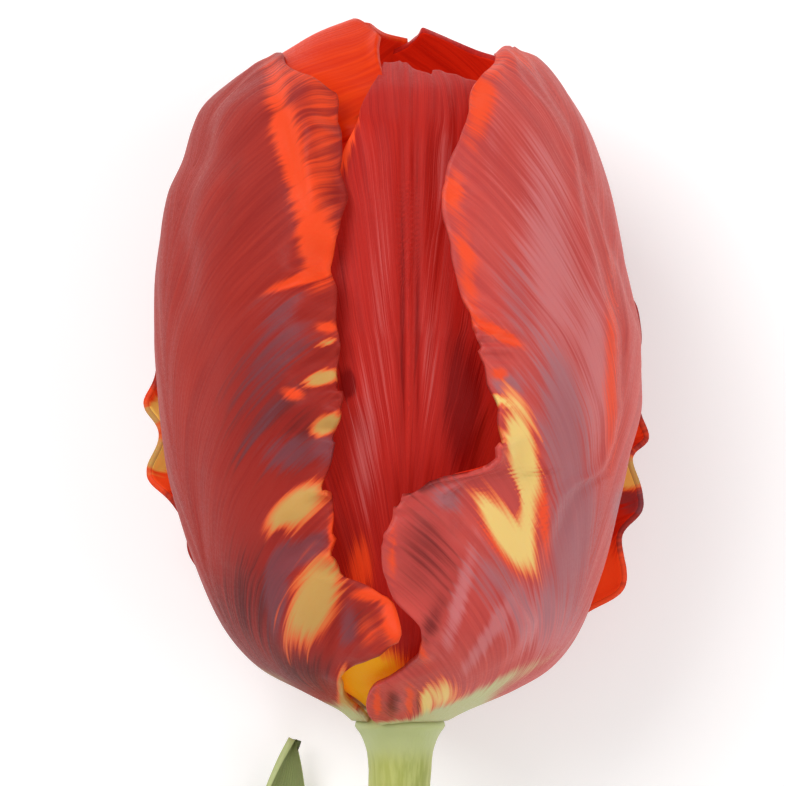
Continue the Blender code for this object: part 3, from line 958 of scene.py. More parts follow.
LEFT_FRONT = (
    (1.9, -4.2), (4, -6.6), (6.5, -7.6), (9, -7), (11.2, -4.2), (13.5, -0.9), (16, 0.1), (18, -0.6),
    (19.7, -3.4), (21.2, -7.6), (24, -8.3), (28, -8.6), (33, -9.9), (37, -8.8), (43, -8), (47.7, -9),
    (52, -8.4), (57.5, -8.6), (60.6, -9.5), (67.7, -7.7), (73.5, -7.8), (80, -8.2), (83, -8.6),
    (88, -12),
)
RIGHT_FRONT = (
    (1.9, -2.6), (4.5, -4.1), (7, -3.4), (9, 0.6), (12, 2.6), (15.2, 2.5), (18.8, -0.7), (22.6, -2),
    (27.7, -1.5), (31.2, 0.4), (33.2, 4.2), (34.6, 9.8), (36, 11.4), (39.3, 12.8), (43.2, 12.5),
    (45.6, 11), (49.7, 10.3), (53.5, 9), (60, 7.1), (65.1, 6.1), (69.7, 5.5), (75.5, 7.7), (80.6, 9.1),
    (84.5, 10.6), (88.6, 12.2),
)

RED_PETAL = PetalFinish(
    "petal_red", srgb(170, 47, 36), srgb(148, 34, 28), dark=srgb(96, 26, 26), purple=srgb(122, 68, 76),
    yellow=srgb(200, 154, 84), lilac_and_highlight=srgb(178, 84, 80), specular=0.14,
)
ROSE_PETAL = PetalFinish(
    "petal_rose", srgb(208, 78, 68), srgb(184, 60, 56), dark=srgb(122, 26, 24), lilac_and_highlight=srgb(206, 122, 124),
    purple=srgb(156, 104, 112), yellow=srgb(240, 202, 118),
)
# Deep red of the inner front and back right tepals; its dark colour is painted shade at the inner front's
# sides, and its emission paints a glow into the shaded inside.
DEEP_PETAL = PetalFinish(
    "petal_deep", srgb(186, 38, 28), srgb(156, 24, 20), dark=srgb(122, 4, 2), yellow=srgb(240, 172, 20),
    painted_glow=0.16, specular=0.14,
)
# Orange hood, with a faint painted glow from its emission.
HOOD_PETAL = PetalFinish(
    "petal_hood", srgb(222, 60, 4), srgb(204, 40, 2), roughness=0.36, painted_glow=0.08, specular=0.08,
)
# Inner faces: bright red-orange with the strongest painted glow, which lights up the shaded inside of the
# bloom.
INSIDE_PETAL = PetalFinish(
    "petal_inside", srgb(212, 44, 18), srgb(188, 30, 12), roughness=0.36, painted_glow=0.3, specular=0.12,
)


def outer_left() -> Tepal:
    """The outer tepal on the left, whose upper margin rolls in and whose lower margin ends in a tongue.

    Returns:
        The tepal.
    """
    return Tepal(
        name="outer_tepal_left",
        slot="tepal_red",
        finish=RED_PETAL,
        low_margin=[(1.9, -116), (8, -125), (20, -141), (45, -150), (70, -148), (84, -138)],
        high_margin=seen_from_front(LEFT_FRONT),
        top=((-1, 80.5), (-0.5, 84.5), (0.05, 88), (0.3, 87.6), (0.7, 85), (1, 83.2)),
        layer=((0, 0), (1, 0)),
        low=Frill(reach=0.18, waves=6, phase=0.2, inset=0.2),
        high=Frill(
            reach=0.55, waves=9, phase=0.15, teeth=0.5, inset=0.2,
            lobes=((14.5, 5.4, 3, 0), (34, 4, -1.2, 0), (46.5, 3, -1.4, 0)),
            roll=((0, 0), (0.45, -0.4), (0.62, -2.2), (0.85, -3.4), (1, -2)),
            ruffles=((42, 7, 0.5, 3.1, 0.09), (28, 6, 0.6, 4.3, 0.12), (15, 4, 0.3, 3, 0.1)),
        ),
        creases=((0.62, 0.34, 0.97, 0.12, 0.8, 0.14), (0.3, 0.2, 0.62, 0.5, 0.5, 0.18)),
        rib=-72,
        folds=ovals(
            (-13.9, 74.4, 1.3, 13, -0.7, -13), (-10.4, 73, 2.4, 12, 0.5, -8),
            (-13.5, 58, 0.9, 5, -0.9, 68), (-12.5, 61.5, 1.6, 4, 0.4, 68), (-10.6, 43, 2.2, 8, -0.6),
            (-11.6, 48.6, 0.7, 3.4, 0.35, 70), (-11.4, 42.9, 0.7, 3.2, 0.35, 62),
            (-13.2, 29.7, 1.9, 4.6, 0.8, 52), (-11.9, 24.6, 1.2, 4.2, -0.9, 58),
            (-10.8, 17.9, 2.6, 5.8, 0.8, 22), (-7.6, 15.6, 0.9, 4.4, -0.8, 12),
        ),
        paint={
            # Painted shade, deepest low on the left where the tepal turns away from the light.
            Channel.DARK: ovals(
                (-19, 17, 8, 11, 0.62), (-18, 44, 7, 14, 0.46, 12), (-12, 8.5, 6, 4, 0.5),
                (-5, 15, 3, 4, 0.45), (-12, 38, 4, 8, 0.45), (-21.4, 68, 1.6, 12, 0.3, 8),
            ),
            Channel.LILAC_AND_HIGHLIGHT: ovals(
                (-26, 74, 2.2, 8, 0.35, 14), (-21, 6.6, 1.6, 6, 0.5, -60), (-9.8, 66, 1.4, 9, 0.35),
                (-16, 9, 1.2, 6, 0.4, -40),
            ),
            Channel.PURPLE: ovals(
                (-16.8, 47, 5, 10, 0.5, 14), (-13.8, 36.4, 4.4, 2.8, 0.75),
                (-11.9, 24.2, 1.9, 4, 1.15, 60), (-15.6, 19, 1.7, 6.2, 1.1), (-6.6, 14.8, 1.6, 3.6, 0.8),
                (-9.2, 37.4, 1.8, 2.4, 0.8), (-14, 53, 4, 3, 0.36, 60),
            ),
            # Orange flames, and a painted highlight on the rolled upper margin.
            Channel.ORANGE_AND_HIGHLIGHT: ovals(
                (-13.9, 74.4, 2, 14, 1, -13), (-9.6, 73, 3, 13, 0.6), (-12, 85, 4, 3, 0.5),
                (-12.4, 58.4, 0.7, 4.8, 1.2, 70), (-10, 62.5, 2.6, 3.6, 0.8),
                (-9.2, 52.4, 1.6, 0.7, 0.9), (-13.4, 44, 2.6, 1, 0.7, 20), (-8.5, 26, 0.7, 4.4, 0.9),
                (-0.8, 15.6, 1.5, 3.6, 1.1, -10), (-3.4, 18.8, 3.6, 1, 0.9), (-4, 14, 2, 2.8, 0.5),
            ),
            Channel.YELLOW: ovals(
                (-13.2, 29.7, 1.9, 4.5, 1.3, 52), (-10.8, 17.9, 2.8, 6.2, 1.25, 22),
                (-9.6, 46, 0.9, 2.2, 1.2, 75), (-9.2, 40.1, 1.2, 2, 1.2, 60),
                (-9, 50.4, 0.4, 1.4, 0.8, 70), (-7.2, 6.4, 0.9, 3.4, 1), (-6, 4.6, 1, 2, 0.8),
            ),
            Channel.CREAM: ovals((-9, 2.4, 7, 2, 1), (-16, 7.2, 1.2, 5, 0.45, -58)),
        },
        seed=11,
    )


def outer_right() -> Tepal:
    """The outer tepal on the right, whose lower margin is a raised flap with a torn edge.

    Returns:
        The tepal.
    """
    return Tepal(
        name="outer_tepal_right",
        slot="tepal_rose",
        finish=ROSE_PETAL,
        low_margin=seen_from_front(RIGHT_FRONT),
        high_margin=[(1.9, 116), (8, 125), (20, 141), (45, 150), (70, 148), (84, 138)],
        top=((-1, 88.4), (-0.6, 88.5), (-0.3, 87.4), (0.2, 86), (0.6, 83.5), (1, 80)),
        layer=((0, 0), (1, 0)),
        low=Frill(
            reach=0.45, waves=8, phase=0.6, teeth=0.4, inset=0.18,
            lobes=((4, 2.4, 1.3, 0), (28, 7, 0.8, 0), (41, 5, 0.8, 0)),
            roll=((0, 0), (0.4, 0.2), (0.6, -0.8), (1, -1)),
            ruffles=((51, 4, 0.6, 2.7, 0.16), (38, 6, 0.5, 3.4, 0.1), (30, 4, 0.35, 2.1, 0.07)),
        ),
        high=Frill(reach=0.18, waves=6, phase=0.5, inset=0.2),
        creases=(
            (0.5, 0.2, 1, -0.5, 0.55, 0.10), (0.3, -0.40, 0.86, -0.37, -0.35, 0.05),
            (0.3, -0.31, 0.86, -0.28, 0.35, 0.05), (0.84, -0.40, 0.99, -0.9, -0.4, 0.07),
        ),
        flap=1.5,
        rib=66,
        folds=ovals(
            (12.6, 51.6, 0.8, 4, -0.8, -62), (12, 53.6, 0.8, 3.4, 0.4, -66),
            (12.4, 48.8, 0.7, 3, -0.5, -70), (8, 69.6, 0.8, 2.6, -0.4, -80),
            (15.4, 35, 1.7, 8, -0.7, -12), (18.6, 32, 1.2, 9, 0.4, -6), (1.8, 26, 1.2, 5, 0.4),
            (6.4, 18, 0.8, 8, -0.3, 16), (-1.2, 4.6, 1.5, 2.8, 0.9),
        ),
        paint={
            # Dark red of the spur, and painted shade in the notch and the gap above the flap.
            Channel.DARK: ovals(
                (2.2, 25, 4.6, 9, 0.45), (3.4, 33.2, 1.3, 4, 0.9, 70), (6.4, 22, 4, 8, 0.3, -30),
                (-0.9, 4.6, 1.3, 2.2, 0.75), (2.4, 4.6, 0.35, 2.6, 0.8), (14, 45.2, 1, 3, 0.5, -60),
                (4, 15, 1.4, 4, 0.5, 24),
            ),
            # Lilac haze, brightest on the upper right as a painted highlight.
            Channel.LILAC_AND_HIGHLIGHT: ovals(
                (19, 60, 4.6, 20, 0.8, -6), (24.8, 46, 2.2, 16, 0.55), (7.4, 18, 1.3, 8, 0.9, 14),
                (10.8, 13, 1.2, 7, 0.8, 32), (18.6, 15, 6, 5, 0.95, 40), (11.4, 76, 2, 7, 0.4),
            ),
            Channel.PURPLE: ovals(
                (20.6, 40, 3.6, 12, 0.95, -6), (14.6, 56, 3, 7.5, 0.5, -14), (5.8, 31, 2.6, 2.6, 0.75),
                (22, 26, 3.6, 8, 0.85, 10), (28.4, 29, 1.6, 4, 0.8), (19, 16, 7, 6, 0.45),
                (11.6, 21, 3.4, 4.6, 0.55, -34), (13.4, 45, 2.4, 2.2, 0.9),
            ),
            # Orange flames, painted highlights on the folded edges, and a painted glow along the right rim.
            Channel.ORANGE_AND_HIGHLIGHT: ovals(
                (12.6, 51.4, 0.8, 3.6, 1.2, -62), (6.6, 69.6, 1.6, 2.6, 0.9),
                (8.4, 60, 1.5, 7, 0.75, -8), (10, 80, 2.4, 7, 0.85, 10), (15, 87, 5, 3, 0.5),
                (26.9, 48, 1.1, 18, 0.6), (-1, 24.6, 0.8, 5, 0.7), (18, 29.6, 0.8, 8, 1, -6),
                (12, 25.2, 0.7, 6.4, 0.8, -34), (2.4, 12, 0.9, 4.4, 0.7, -24), (12.6, 46.6, 1.4, 1, 0.8),
                (1.2, 4.6, 0.6, 2.8, 0.9), (-2.9, 4.8, 0.6, 2.6, 0.9),
            ),
            Channel.YELLOW: ovals(
                (15.4, 36.6, 1.8, 6.6, 1.35, -12), (13.2, 26.8, 1.7, 6.2, 1.35, -32),
                (16, 28, 1, 5, 0.8, -8), (13.5, 33, 0.6, 3, -1.3, -25), (12.2, 43.4, 0.5, 1.8, 1, -60),
                (5.6, 5.6, 2.6, 2.8, 0.7), (3.4, 4.2, 0.7, 3, 0.8),
            ),
            Channel.CREAM: ovals(
                (7, 2.8, 2.2, 6, 1, 66), (6.2, 1.6, 3.6, 1.8, 1.2), (-1, 1.2, 5, 1, 1.1),
                (12.4, 7, 0.9, 6, 0.5, 54), (17.6, 9.4, 0.8, 6, 0.36, 58),
            ),
        },
        seed=23,
    )


def outer_back() -> Tepal:
    """The outer tepal that the bloom lies on, whose frilled margins show on both sides.

    Returns:
        The tepal.
    """
    return Tepal(
        name="outer_tepal_back",
        slot="tepal_red",
        finish=RED_PETAL,
        low_margin=[(1.9, 136), (7, 134), (16, 118), (30, 110), (55, 110), (74, 122), (80, 132)],
        high_margin=[(1.9, 224), (7, 226), (16, 242), (30, 250), (55, 250), (74, 238), (80, 228)],
        top=((-1, 76), (-0.5, 82), (0, 85), (0.5, 82), (1, 76)),
        layer=((0, 0.1), (0.06, 1), (0.12, LAYER), (1, LAYER)),
        low=Frill(
            reach=0.3, waves=7, phase=0.1, teeth=0.5, inset=0.3,
            lobes=((39, 2.6, 2, 0.6), (31, 5, 2.8, 0.9), (21.2, 5, 3.7, 1.4)),
            roll=((0, 0), (0.15, 0.4), (0.8, 0.4), (1, 0.2)),
        ),
        high=Frill(
            reach=0.3, waves=7, phase=0.7, teeth=0.5, inset=0.3,
            lobes=((42.6, 3, 2.5, 0.8), (34.4, 4.2, 2.6, 0.9)),
            roll=((0, 0), (0.15, 0.4), (0.8, 0.4), (1, 0.2)),
        ),
        rib=180,
        paint={
            Channel.LILAC_AND_HIGHLIGHT: ovals((0, 40, 12, 26, 0.4)),
            Channel.PURPLE: ovals((31, 30, 3, 2.6, 0.9), (0, 24, 10, 14, 0.4)),
            Channel.ORANGE_AND_HIGHLIGHT: ovals(
                (-32.5, 42, 3, 4, 1), (-32, 32, 3, 5, 0.9), (27, 20, 5, 6, 1.1), (31, 39, 2, 2, 1.1),
            ),
            Channel.YELLOW: ovals(
                (-32.4, 41.5, 1.2, 2.4, 1.1), (-31.8, 36, 2, 2.6, 1.1), (30.6, 33.6, 2, 2, 1.1),
            ),
            Channel.CREAM: ovals((0, 2, 12, 4, 1)),
        },
        seed=37,
    )


def inner_front() -> Tepal:
    """The inner tepal in the opening of the bloom, hollow, with two grooves beside its midrib.

    Returns:
        The tepal.
    """
    return Tepal(
        name="inner_tepal_front",
        slot="tepal_deep_red",
        finish=DEEP_PETAL,
        low_margin=[(1.9, -46), (8, -52), (25, -58), (58, -60), (74, -20), (80, -15), (90, -12)],
        high_margin=[(1.9, 46), (8, 52), (25, 58), (60, 60), (80, 52), (90, 46)],
        top=((-1, 90), (-0.6, 90.8), (-0.3, 89.9), (-0.05, 88.9), (0.1, 89.6), (0.6, 88.2), (1, 84)),
        layer=((0, -LAYER), (0.1, -1.9), (0.2, -2.6), (0.6, -3), (0.75, -4.1), (1, -4.1)),
        hollow=((0, 0), (0.12, -0.5), (0.3, -3.6), (0.6, -3.2), (0.75, -1.6), (1, -0.6)),
        across=150,
        along=170,
        low=Frill(reach=0.12, waves=5, inset=0.2),
        high=Frill(reach=0.12, waves=5, inset=0.2),
        rib=2.4,
        vein_reach=1.3,
        folds=ovals(
            (0.3, 58, 0.6, 28, -0.55), (2.2, 58, 0.6, 28, -0.5), (1.25, 58, 0.5, 28, 0.3),
            (-1.6, 58, 1.2, 28, 0.35), (3.8, 58, 1.2, 28, 0.35), (-4.6, 62, 0.9, 20, -0.25, -4),
            (7, 66, 0.9, 18, -0.25, 6),
        ),
        paint={
            # Painted shade at the sides and along the grooves beside the midrib.
            Channel.DARK: ovals(
                (8, 42, 3.4, 13, 0.9), (-6.4, 45.2, 1, 1.8, 1.3), (0.3, 56, 0.55, 28, 0.62),
                (2.2, 56, 0.55, 28, 0.62), (-7.4, 58, 1.2, 16, 0.55), (6, 62, 1, 14, 0.3),
            ),
            # Pink haze, with a painted highlight along the top edge on the right.
            Channel.LILAC_AND_HIGHLIGHT: ovals(
                (-2.4, 56, 2.4, 24, 0.34), (5.4, 72, 2.4, 12, 0.42), (-4.6, 36, 2, 10, 0.55),
                (8, 86.6, 4, 0.7, 0.8, -10), (3.6, 50, 1.4, 12, 0.4),
            ),
            # The hood's orange margin, and a painted orange glow deep in the cup.
            Channel.ORANGE_AND_HIGHLIGHT: ovals((-5, 22, 1.8, 5, 0.85), (-6.6, 77, 1.1, 6, 1.2, 12)),
            Channel.CREAM: ovals((0, 1, 10, 1.6, 0.8)),
            Channel.YELLOW: ovals((-4, 7, 5, 4.4, 1.5)),
        },
        seed=41,
    )


def inner_back_left() -> Tepal:
    """The inner tepal at the back left, whose top folds over the opening as a hood.

    Returns:
        The tepal.
    """
    return Tepal(
        name="inner_tepal_back_left",
        slot="tepal_orange",
        finish=HOOD_PETAL,
        low_margin=[(1.9, -167), (8, -170), (60, -177), (80, -181), (91, -184)],
        high_margin=[
            (1.9, -73), (8, -69), (25, -66), (60, -66), (76, -30), (82, -9), (87, -8), (91, -18),
        ],
        top=((-1, 89.6), (-0.5, 91.6), (0, 91.8), (0.6, 91.8), (0.85, 91.6), (1, 91)),
        layer=((0, -LAYER), (0.6, -LAYER), (0.75, -LAYER - 0.2), (1, 0.6)),
        across=90,
        along=150,
        low=Frill(reach=0.15, waves=5, inset=0.25, phase=0.3),
        high=Frill(
            reach=0.1, waves=5, phase=0.3, inset=0.9,
            roll=((0, 0), (0.45, 0), (0.6, -1.6), (0.7, -4.6), (0.9, -4.4), (1, -1.6)),
        ),
        rib=-122,
        paint={
            Channel.CREAM: ovals((0, 3, 12, 3, 0.8)),
            Channel.DARK: ovals((-4.6, 80, 1, 3, 0.5, 20)),
        },
        seed=53,
    )


def inner_back_right() -> Tepal:
    """The inner tepal at the back right, whose top curls above the opening.

    Returns:
        The tepal.
    """
    return Tepal(
        name="inner_tepal_back_right",
        slot="tepal_deep_red",
        finish=DEEP_PETAL,
        low_margin=[(1.9, 73), (8, 69), (25, 66), (70, 66), (91, 70)],
        high_margin=[(1.9, 167), (8, 170), (60, 177), (80, 181), (91, 184)],
        top=((-1, 86), (-0.6, 87.2), (-0.1, 87.6), (0.2, 89.4), (0.45, 91.8), (0.7, 91), (1, 89.4)),
        layer=((0, -LAYER), (0.15, -LAYER), (0.9, -LAYER - 0.1), (1, -0.4)),
        across=90,
        along=150,
        low=Frill(reach=0.1, waves=5, inset=0.2, phase=0.8),
        high=Frill(reach=0.15, waves=5, inset=0.25, phase=0.8),
        rib=122,
        paint={Channel.CREAM: ovals((0, 3, 12, 3, 0.8))},
        seed=67,
    )


def stem_axis(y: np.ndarray, lift: float) -> np.ndarray:
    """Centre line of the stem.

    Args:
        y: Distance from the bloom, negative below it.
        lift: Height of the receptacle over the floor.

    Returns:
        Points in millimetres, with Z up.
    """
    slope = math.tan(math.radians(BLOOM_TILT))
    end = -STEM_LENGTH
    keys = ((end, STEM_CUT_RADIUS), (end + 30, STEM_CUT_RADIUS + 1.3), (-90.0, lift * 0.53), (0.0, lift))
    height = ease(keys, np.minimum(y, 0.0)) + np.maximum(y, 0.0) * slope
    blend = ramp(y, -50.0, 0.0)
    height = height * (1 - blend) + (lift + y * slope) * blend
    across = ease(((end, 5.0), (-130.0, -2.4), (-60.0, -1.2), (-30.0, -0.2), (20.0, 0.0)), y)
    return np.stack((across, y + 0 * height, height), axis=-1)


class TubeNodes(Wiring):
    """A Geometry Nodes group that sweeps a round tube along a chain of points."""

    def __init__(self, material: bpy.types.Material) -> None:
        """Builds the group.

        Args:
            material: The tube's material.
        """
        super().__init__(bpy.data.node_groups.new("round_tube", "GeometryNodeTree"))
        socket = self.tree.interface.new_socket
        socket("Path", in_out="INPUT", socket_type="NodeSocketGeometry")
        socket("Sides", in_out="INPUT", socket_type="NodeSocketInt").default_value = 24
        socket("Tube", in_out="OUTPUT", socket_type="NodeSocketGeometry")
        enter = self.node("NodeGroupInput").outputs
        radius = self.node("GeometryNodeInputNamedAttribute", {"Name": "tube_radius"}, data_type="FLOAT")
        chain = self.node("GeometryNodeMeshToCurve", {"Mesh": enter["Path"]})
        thick = self.node(
            "GeometryNodeSetCurveRadius", {"Curve": chain.outputs["Curve"], "Radius": radius.outputs[0]}
        )
        ring = self.node("GeometryNodeCurvePrimitiveCircle", {"Resolution": enter["Sides"], "Radius": 1.0})
        sides = {"Curve": thick.outputs["Curve"], "Profile Curve": ring.outputs["Curve"], "Fill Caps": True}
        tube = self.node("GeometryNodeCurveToMesh", sides)
        if "Scale" in tube.inputs:
            self.feed(tube.inputs["Scale"], radius.outputs[0])
        smooth = self.node("GeometryNodeSetShadeSmooth", {"Geometry": tube.outputs["Mesh"]})
        real = self.node("GeometryNodeRealizeInstances", {"Geometry": smooth.outputs["Geometry"]})
        paint = self.node(
            "GeometryNodeSetMaterial", {"Geometry": real.outputs["Geometry"], "Material": material}
        )
        self.node("NodeGroupOutput", {"Tube": paint.outputs["Geometry"]})

    def sweep(
        self, name: str, points: np.ndarray, radii: np.ndarray, marks: dict[str, np.ndarray]
    ) -> bpy.types.Object:
        """Sweeps a closed tube.

        Args:
            name: Name of the piece.
            points: The tube's centre line, in metres.
            radii: Its radius at each point, in metres.
            marks: Numbers that its skin reads, by attribute name.

        Returns:
            The tube as a plain mesh.
        """
        mesh = bpy.data.meshes.new(name)
        pairs = [(i, i + 1) for i in range(len(points) - 1)]
        mesh.from_pydata([tuple(point) for point in points], pairs, [])
        for mark, values in {"tube_radius": radii, **marks}.items():
            add_attribute(mesh, mark, values)
        obj = link_object(name, mesh)
        obj.modifiers.new("Tube", "NODES").node_group = self.tree
        apply_modifiers(obj)
        return obj


@dataclass(frozen=True)
class Stem:
    """The stem with its receptacle, swept along the way it lies.

    Attributes:
        widths: Radius by place along the stem.
        head: Radius of the receptacle by height.
        neck: Heights of the receptacle's rings.
        rings: Rings of the stem under the neck.
        top: Where those rings end.
    """

    widths: Keys = (
        (-STEM_LENGTH, STEM_CUT_RADIUS), (-160, STEM_RADIUS + 0.1), (-60, STEM_RADIUS), (0, STEM_RADIUS),
    )
    head: Keys = (
        (-4.6, 4.05), (-2.6, 4.2), (-0.8, 4.7), (0.4, 5.3), (1.2, 5.85), (1.9, 5.6), (2.5, 5.0), (2.8, 4.4),
    )
    neck: tuple[float, ...] = (
        -4.6, -4.0, -3.2, -2.2, -1.5, -0.8, -0.2, 0.4, 0.8, 1.2, 1.6, 1.9, 2.2, 2.5, 2.7, 2.8,
    )
    rings: int = 90
    top: float = -6.0

    def build(self, resting: Resting, finishes: Finishes) -> bpy.types.Object:
        """Builds and dresses the stem.

        Args:
            resting: Where the bloom rests.
            finishes: The shared materials.

        Returns:
            The stem's piece.
        """
        below, neck = np.linspace(-STEM_LENGTH, self.top, self.rings), np.array(self.neck)
        head = resting.place(np.stack((0 * neck, neck, 0 * neck), axis=-1))
        path = np.concatenate((resting.settle(stem_axis(below, resting.lift)), head))
        radii = np.concatenate((ease(self.widths, below), ease(self.head, neck)))
        y = np.concatenate((below, neck))
        marks = {"neck": ramp(y, -5.5, 0.5), "cut": ramp(y, -STEM_LENGTH + 0.6, -STEM_LENGTH)}
        tube = TubeNodes(finishes.of(StemFinish()))
        return dress(tube.sweep("stem_dressed", path, radii * MM, marks), "stem")


@dataclass(frozen=True)
class Leaf:
    """A channelled leaf that clasps the stem and lies on the floor.

    Attributes:
        path: Share, distance across, place along Y and height from the stem's centre.
        half_width: Half width by share.
        bend: Radius of the hollow by share.
        turn: Roll of the hollow side from up by share, in degrees, positive towards +X.
        wave: How far the edges wave.
        across: Cells of the grid from edge to edge.
        along: Cells of the grid from stem to tip.
    """

    name: str
    path: Rows
    half_width: Keys
    bend: Keys
    turn: Keys
    wave: float
    across: int = 40
    along: int = 160

    def centre(self, share: np.ndarray, lift: float) -> np.ndarray:
        """The midrib's points at shares of the leaf's length."""
        across, y, up = (ease([(key[0], key[i]) for key in self.path], share) for i in (1, 2, 3))
        return stem_axis(y, lift) + np.stack((across, 0 * y, up), axis=-1)

    def surface(self, t: np.ndarray, s: np.ndarray, lift: float) -> np.ndarray:
        """The leaf's upper face.

        Args:
            t: Place across, -1 to 1.
            s: Place along, 0 at the stem to 1 at the tip.
            lift: Height of the receptacle.

        Returns:
            Points in millimetres, before they are settled on the flat spot.
        """
        along = self.centre(np.minimum(s + 0.01, 1.0), lift) - self.centre(np.maximum(s - 0.01, 0.0), lift)
        along = along / np.linalg.norm(along, axis=-1, keepdims=True)
        turn = np.radians(ease(self.turn, s))
        side = np.stack((np.cos(turn), 0 * turn, -np.sin(turn)), axis=-1)
        side = side - along * np.sum(side * along, axis=-1, keepdims=True)
        side = side / np.linalg.norm(side, axis=-1, keepdims=True)
        hollow = np.cross(side, along)
        bend = ease(self.bend, s)
        angle = t * ease(self.half_width, s) / bend
        wave = self.wave * t * t * np.sin(2 * math.pi * 2.6 * s + 1.5 * t) * ramp(s, 0.2, 0.5)
        ribs = 0.06 * np.cos(t * 40) * ramp(np.abs(t), 1.0, 0.8)
        points = self.centre(s, lift) + side * (bend * np.sin(angle))[:, None]
        points = points + hollow * (bend * (1 - np.cos(angle)) + wave + ribs)[:, None]
        points[:, 2] = np.maximum(points[:, 2], LEAF_THICKNESS)
        return points

    def build(self, resting: Resting, finishes: Finishes) -> bpy.types.Object:
        """Builds and dresses the leaf.

        Args:
            resting: Where the bloom rests.
            finishes: The shared materials.

        Returns:
            The leaf's piece.
        """
        mesh, t, s = grid_points(self.across, self.along)
        set_points(mesh, resting.settle(self.surface(t, s, resting.lift)))
        add_vein_map(mesh, t * 0.5 + 0.5, s)
        add_attribute(mesh, "rim", ramp(np.abs(t), 0.9, 1.0))
        mesh.materials.append(finishes.of(LeafFinish()))
        mesh.shade_smooth()
        obj = link_object("blade_" + self.name, mesh)
        thicken(obj, LEAF_THICKNESS)
        return dress(obj, self.name)


LEAVES = (
    Leaf(
        name="leaf_upper",
        path=(
            (0, -4.6, -144, 0), (0.1, -5, -131, 0), (0.18, -8.4, -120, -0.6), (0.3, -15, -103, -5.4),
            (0.5, -18.5, -72, -17), (0.75, -19.5, -36, -19.6), (0.92, -15.2, -9, -23.2),
            (1, -13.7, 0.3, -23),
        ),
        half_width=(
            (0, 5), (0.1, 7), (0.35, 11.5), (0.6, 11), (0.8, 6.4), (0.92, 3.2), (0.97, 1.5), (1, 0.15),
        ),
        bend=((0, 4.6), (0.12, 5.4), (0.2, 8.5), (0.35, 14), (0.6, 22), (1, 14)),
        turn=((0, 90), (0.12, 86), (0.2, 65), (0.35, 34), (0.6, 12), (1, 8)),
        wave=0.7,
    ),
    Leaf(
        name="leaf_lower",
        path=(
            (0, 4.7, -180, 0), (0.1, 5.2, -169, 0), (0.18, 9, -160, -0.4), (0.3, 17, -146, -3),
            (0.55, 30, -112, -9.8), (0.8, 40.5, -74, -18), (0.93, 43.5, -52, -20), (1, 44.5, -40, -20),
        ),
        half_width=(
            (0, 4.6), (0.12, 7.4), (0.35, 14), (0.55, 14.5), (0.8, 9), (0.92, 4.2), (0.97, 1.8), (1, 0.15),
        ),
        bend=((0, 4.7), (0.12, 5.6), (0.2, 9.5), (0.35, 22), (0.6, 60), (1, 30)),
        turn=((0, -90), (0.12, -84), (0.2, -62), (0.35, -20), (0.6, -3), (1, -6)),
        wave=0.9,
    ),
)


@dataclass(frozen=True)
class Pistil:
    """The three-sided ovary with its three-lobed stigma.

    Attributes:
        outline: Radius by share of the height.
        foot: Height of its lower end over the receptacle's base.
        tall: How tall it is.
        lobing: How far the three sides stand out, and how much further the stigma's lobes do.
        sides: Points of each ring.
        rings: Steps from end to end.
    """

    outline: Keys = (
        (0, 2.3), (0.1, 3), (0.5, 3.1), (0.76, 2.5), (0.84, 2.4), (0.9, 4.6), (0.96, 4.9), (1, 3.4),
    )
    foot: float = 3.2
    tall: float = 29.0
    lobing: tuple[float, float] = (0.10, 0.22)
    sides: int = 48
    rings: int = 60

    def build(self, resting: Resting, finishes: Finishes) -> bpy.types.Object:
        """Builds and dresses the pistil.

        Args:
            resting: Where the bloom rests.
            finishes: The shared materials.

        Returns:
            The pistil's piece.
        """
        share = np.linspace(0, 1, self.rings + 1)[:, None]
        angle = np.linspace(0, 2 * math.pi, self.sides, endpoint=False)[None, :]
        ovary, stigma = self.lobing
        lobed = 1 + (ovary + stigma * ramp(share, 0.8, 0.95)) * np.cos(3 * angle)
        height = self.foot + self.tall * share + 0 * angle
        points = resting.place(round_axis(ease(self.outline, share) * lobed, height, angle))
        low = np.arange(self.rings)[:, None] * self.sides + np.arange(self.sides)
        after = np.roll(low, -1, axis=1)
        quads = np.stack((low, after, after + self.sides, low + self.sides), axis=-1).reshape(-1, 4)
        top = self.rings * self.sides
        ends = [list(range(self.sides))[::-1], list(range(top, top + self.sides))]
        mesh = bpy.data.meshes.new("pistil_dressed")
        mesh.from_pydata(points.reshape(-1, 3).tolist(), [], quads.tolist() + ends)
        mesh.materials.append(finishes.of(PISTIL_FINISH))
        mesh.shade_smooth()
        return dress(link_object("pistil_dressed", mesh), "pistil")


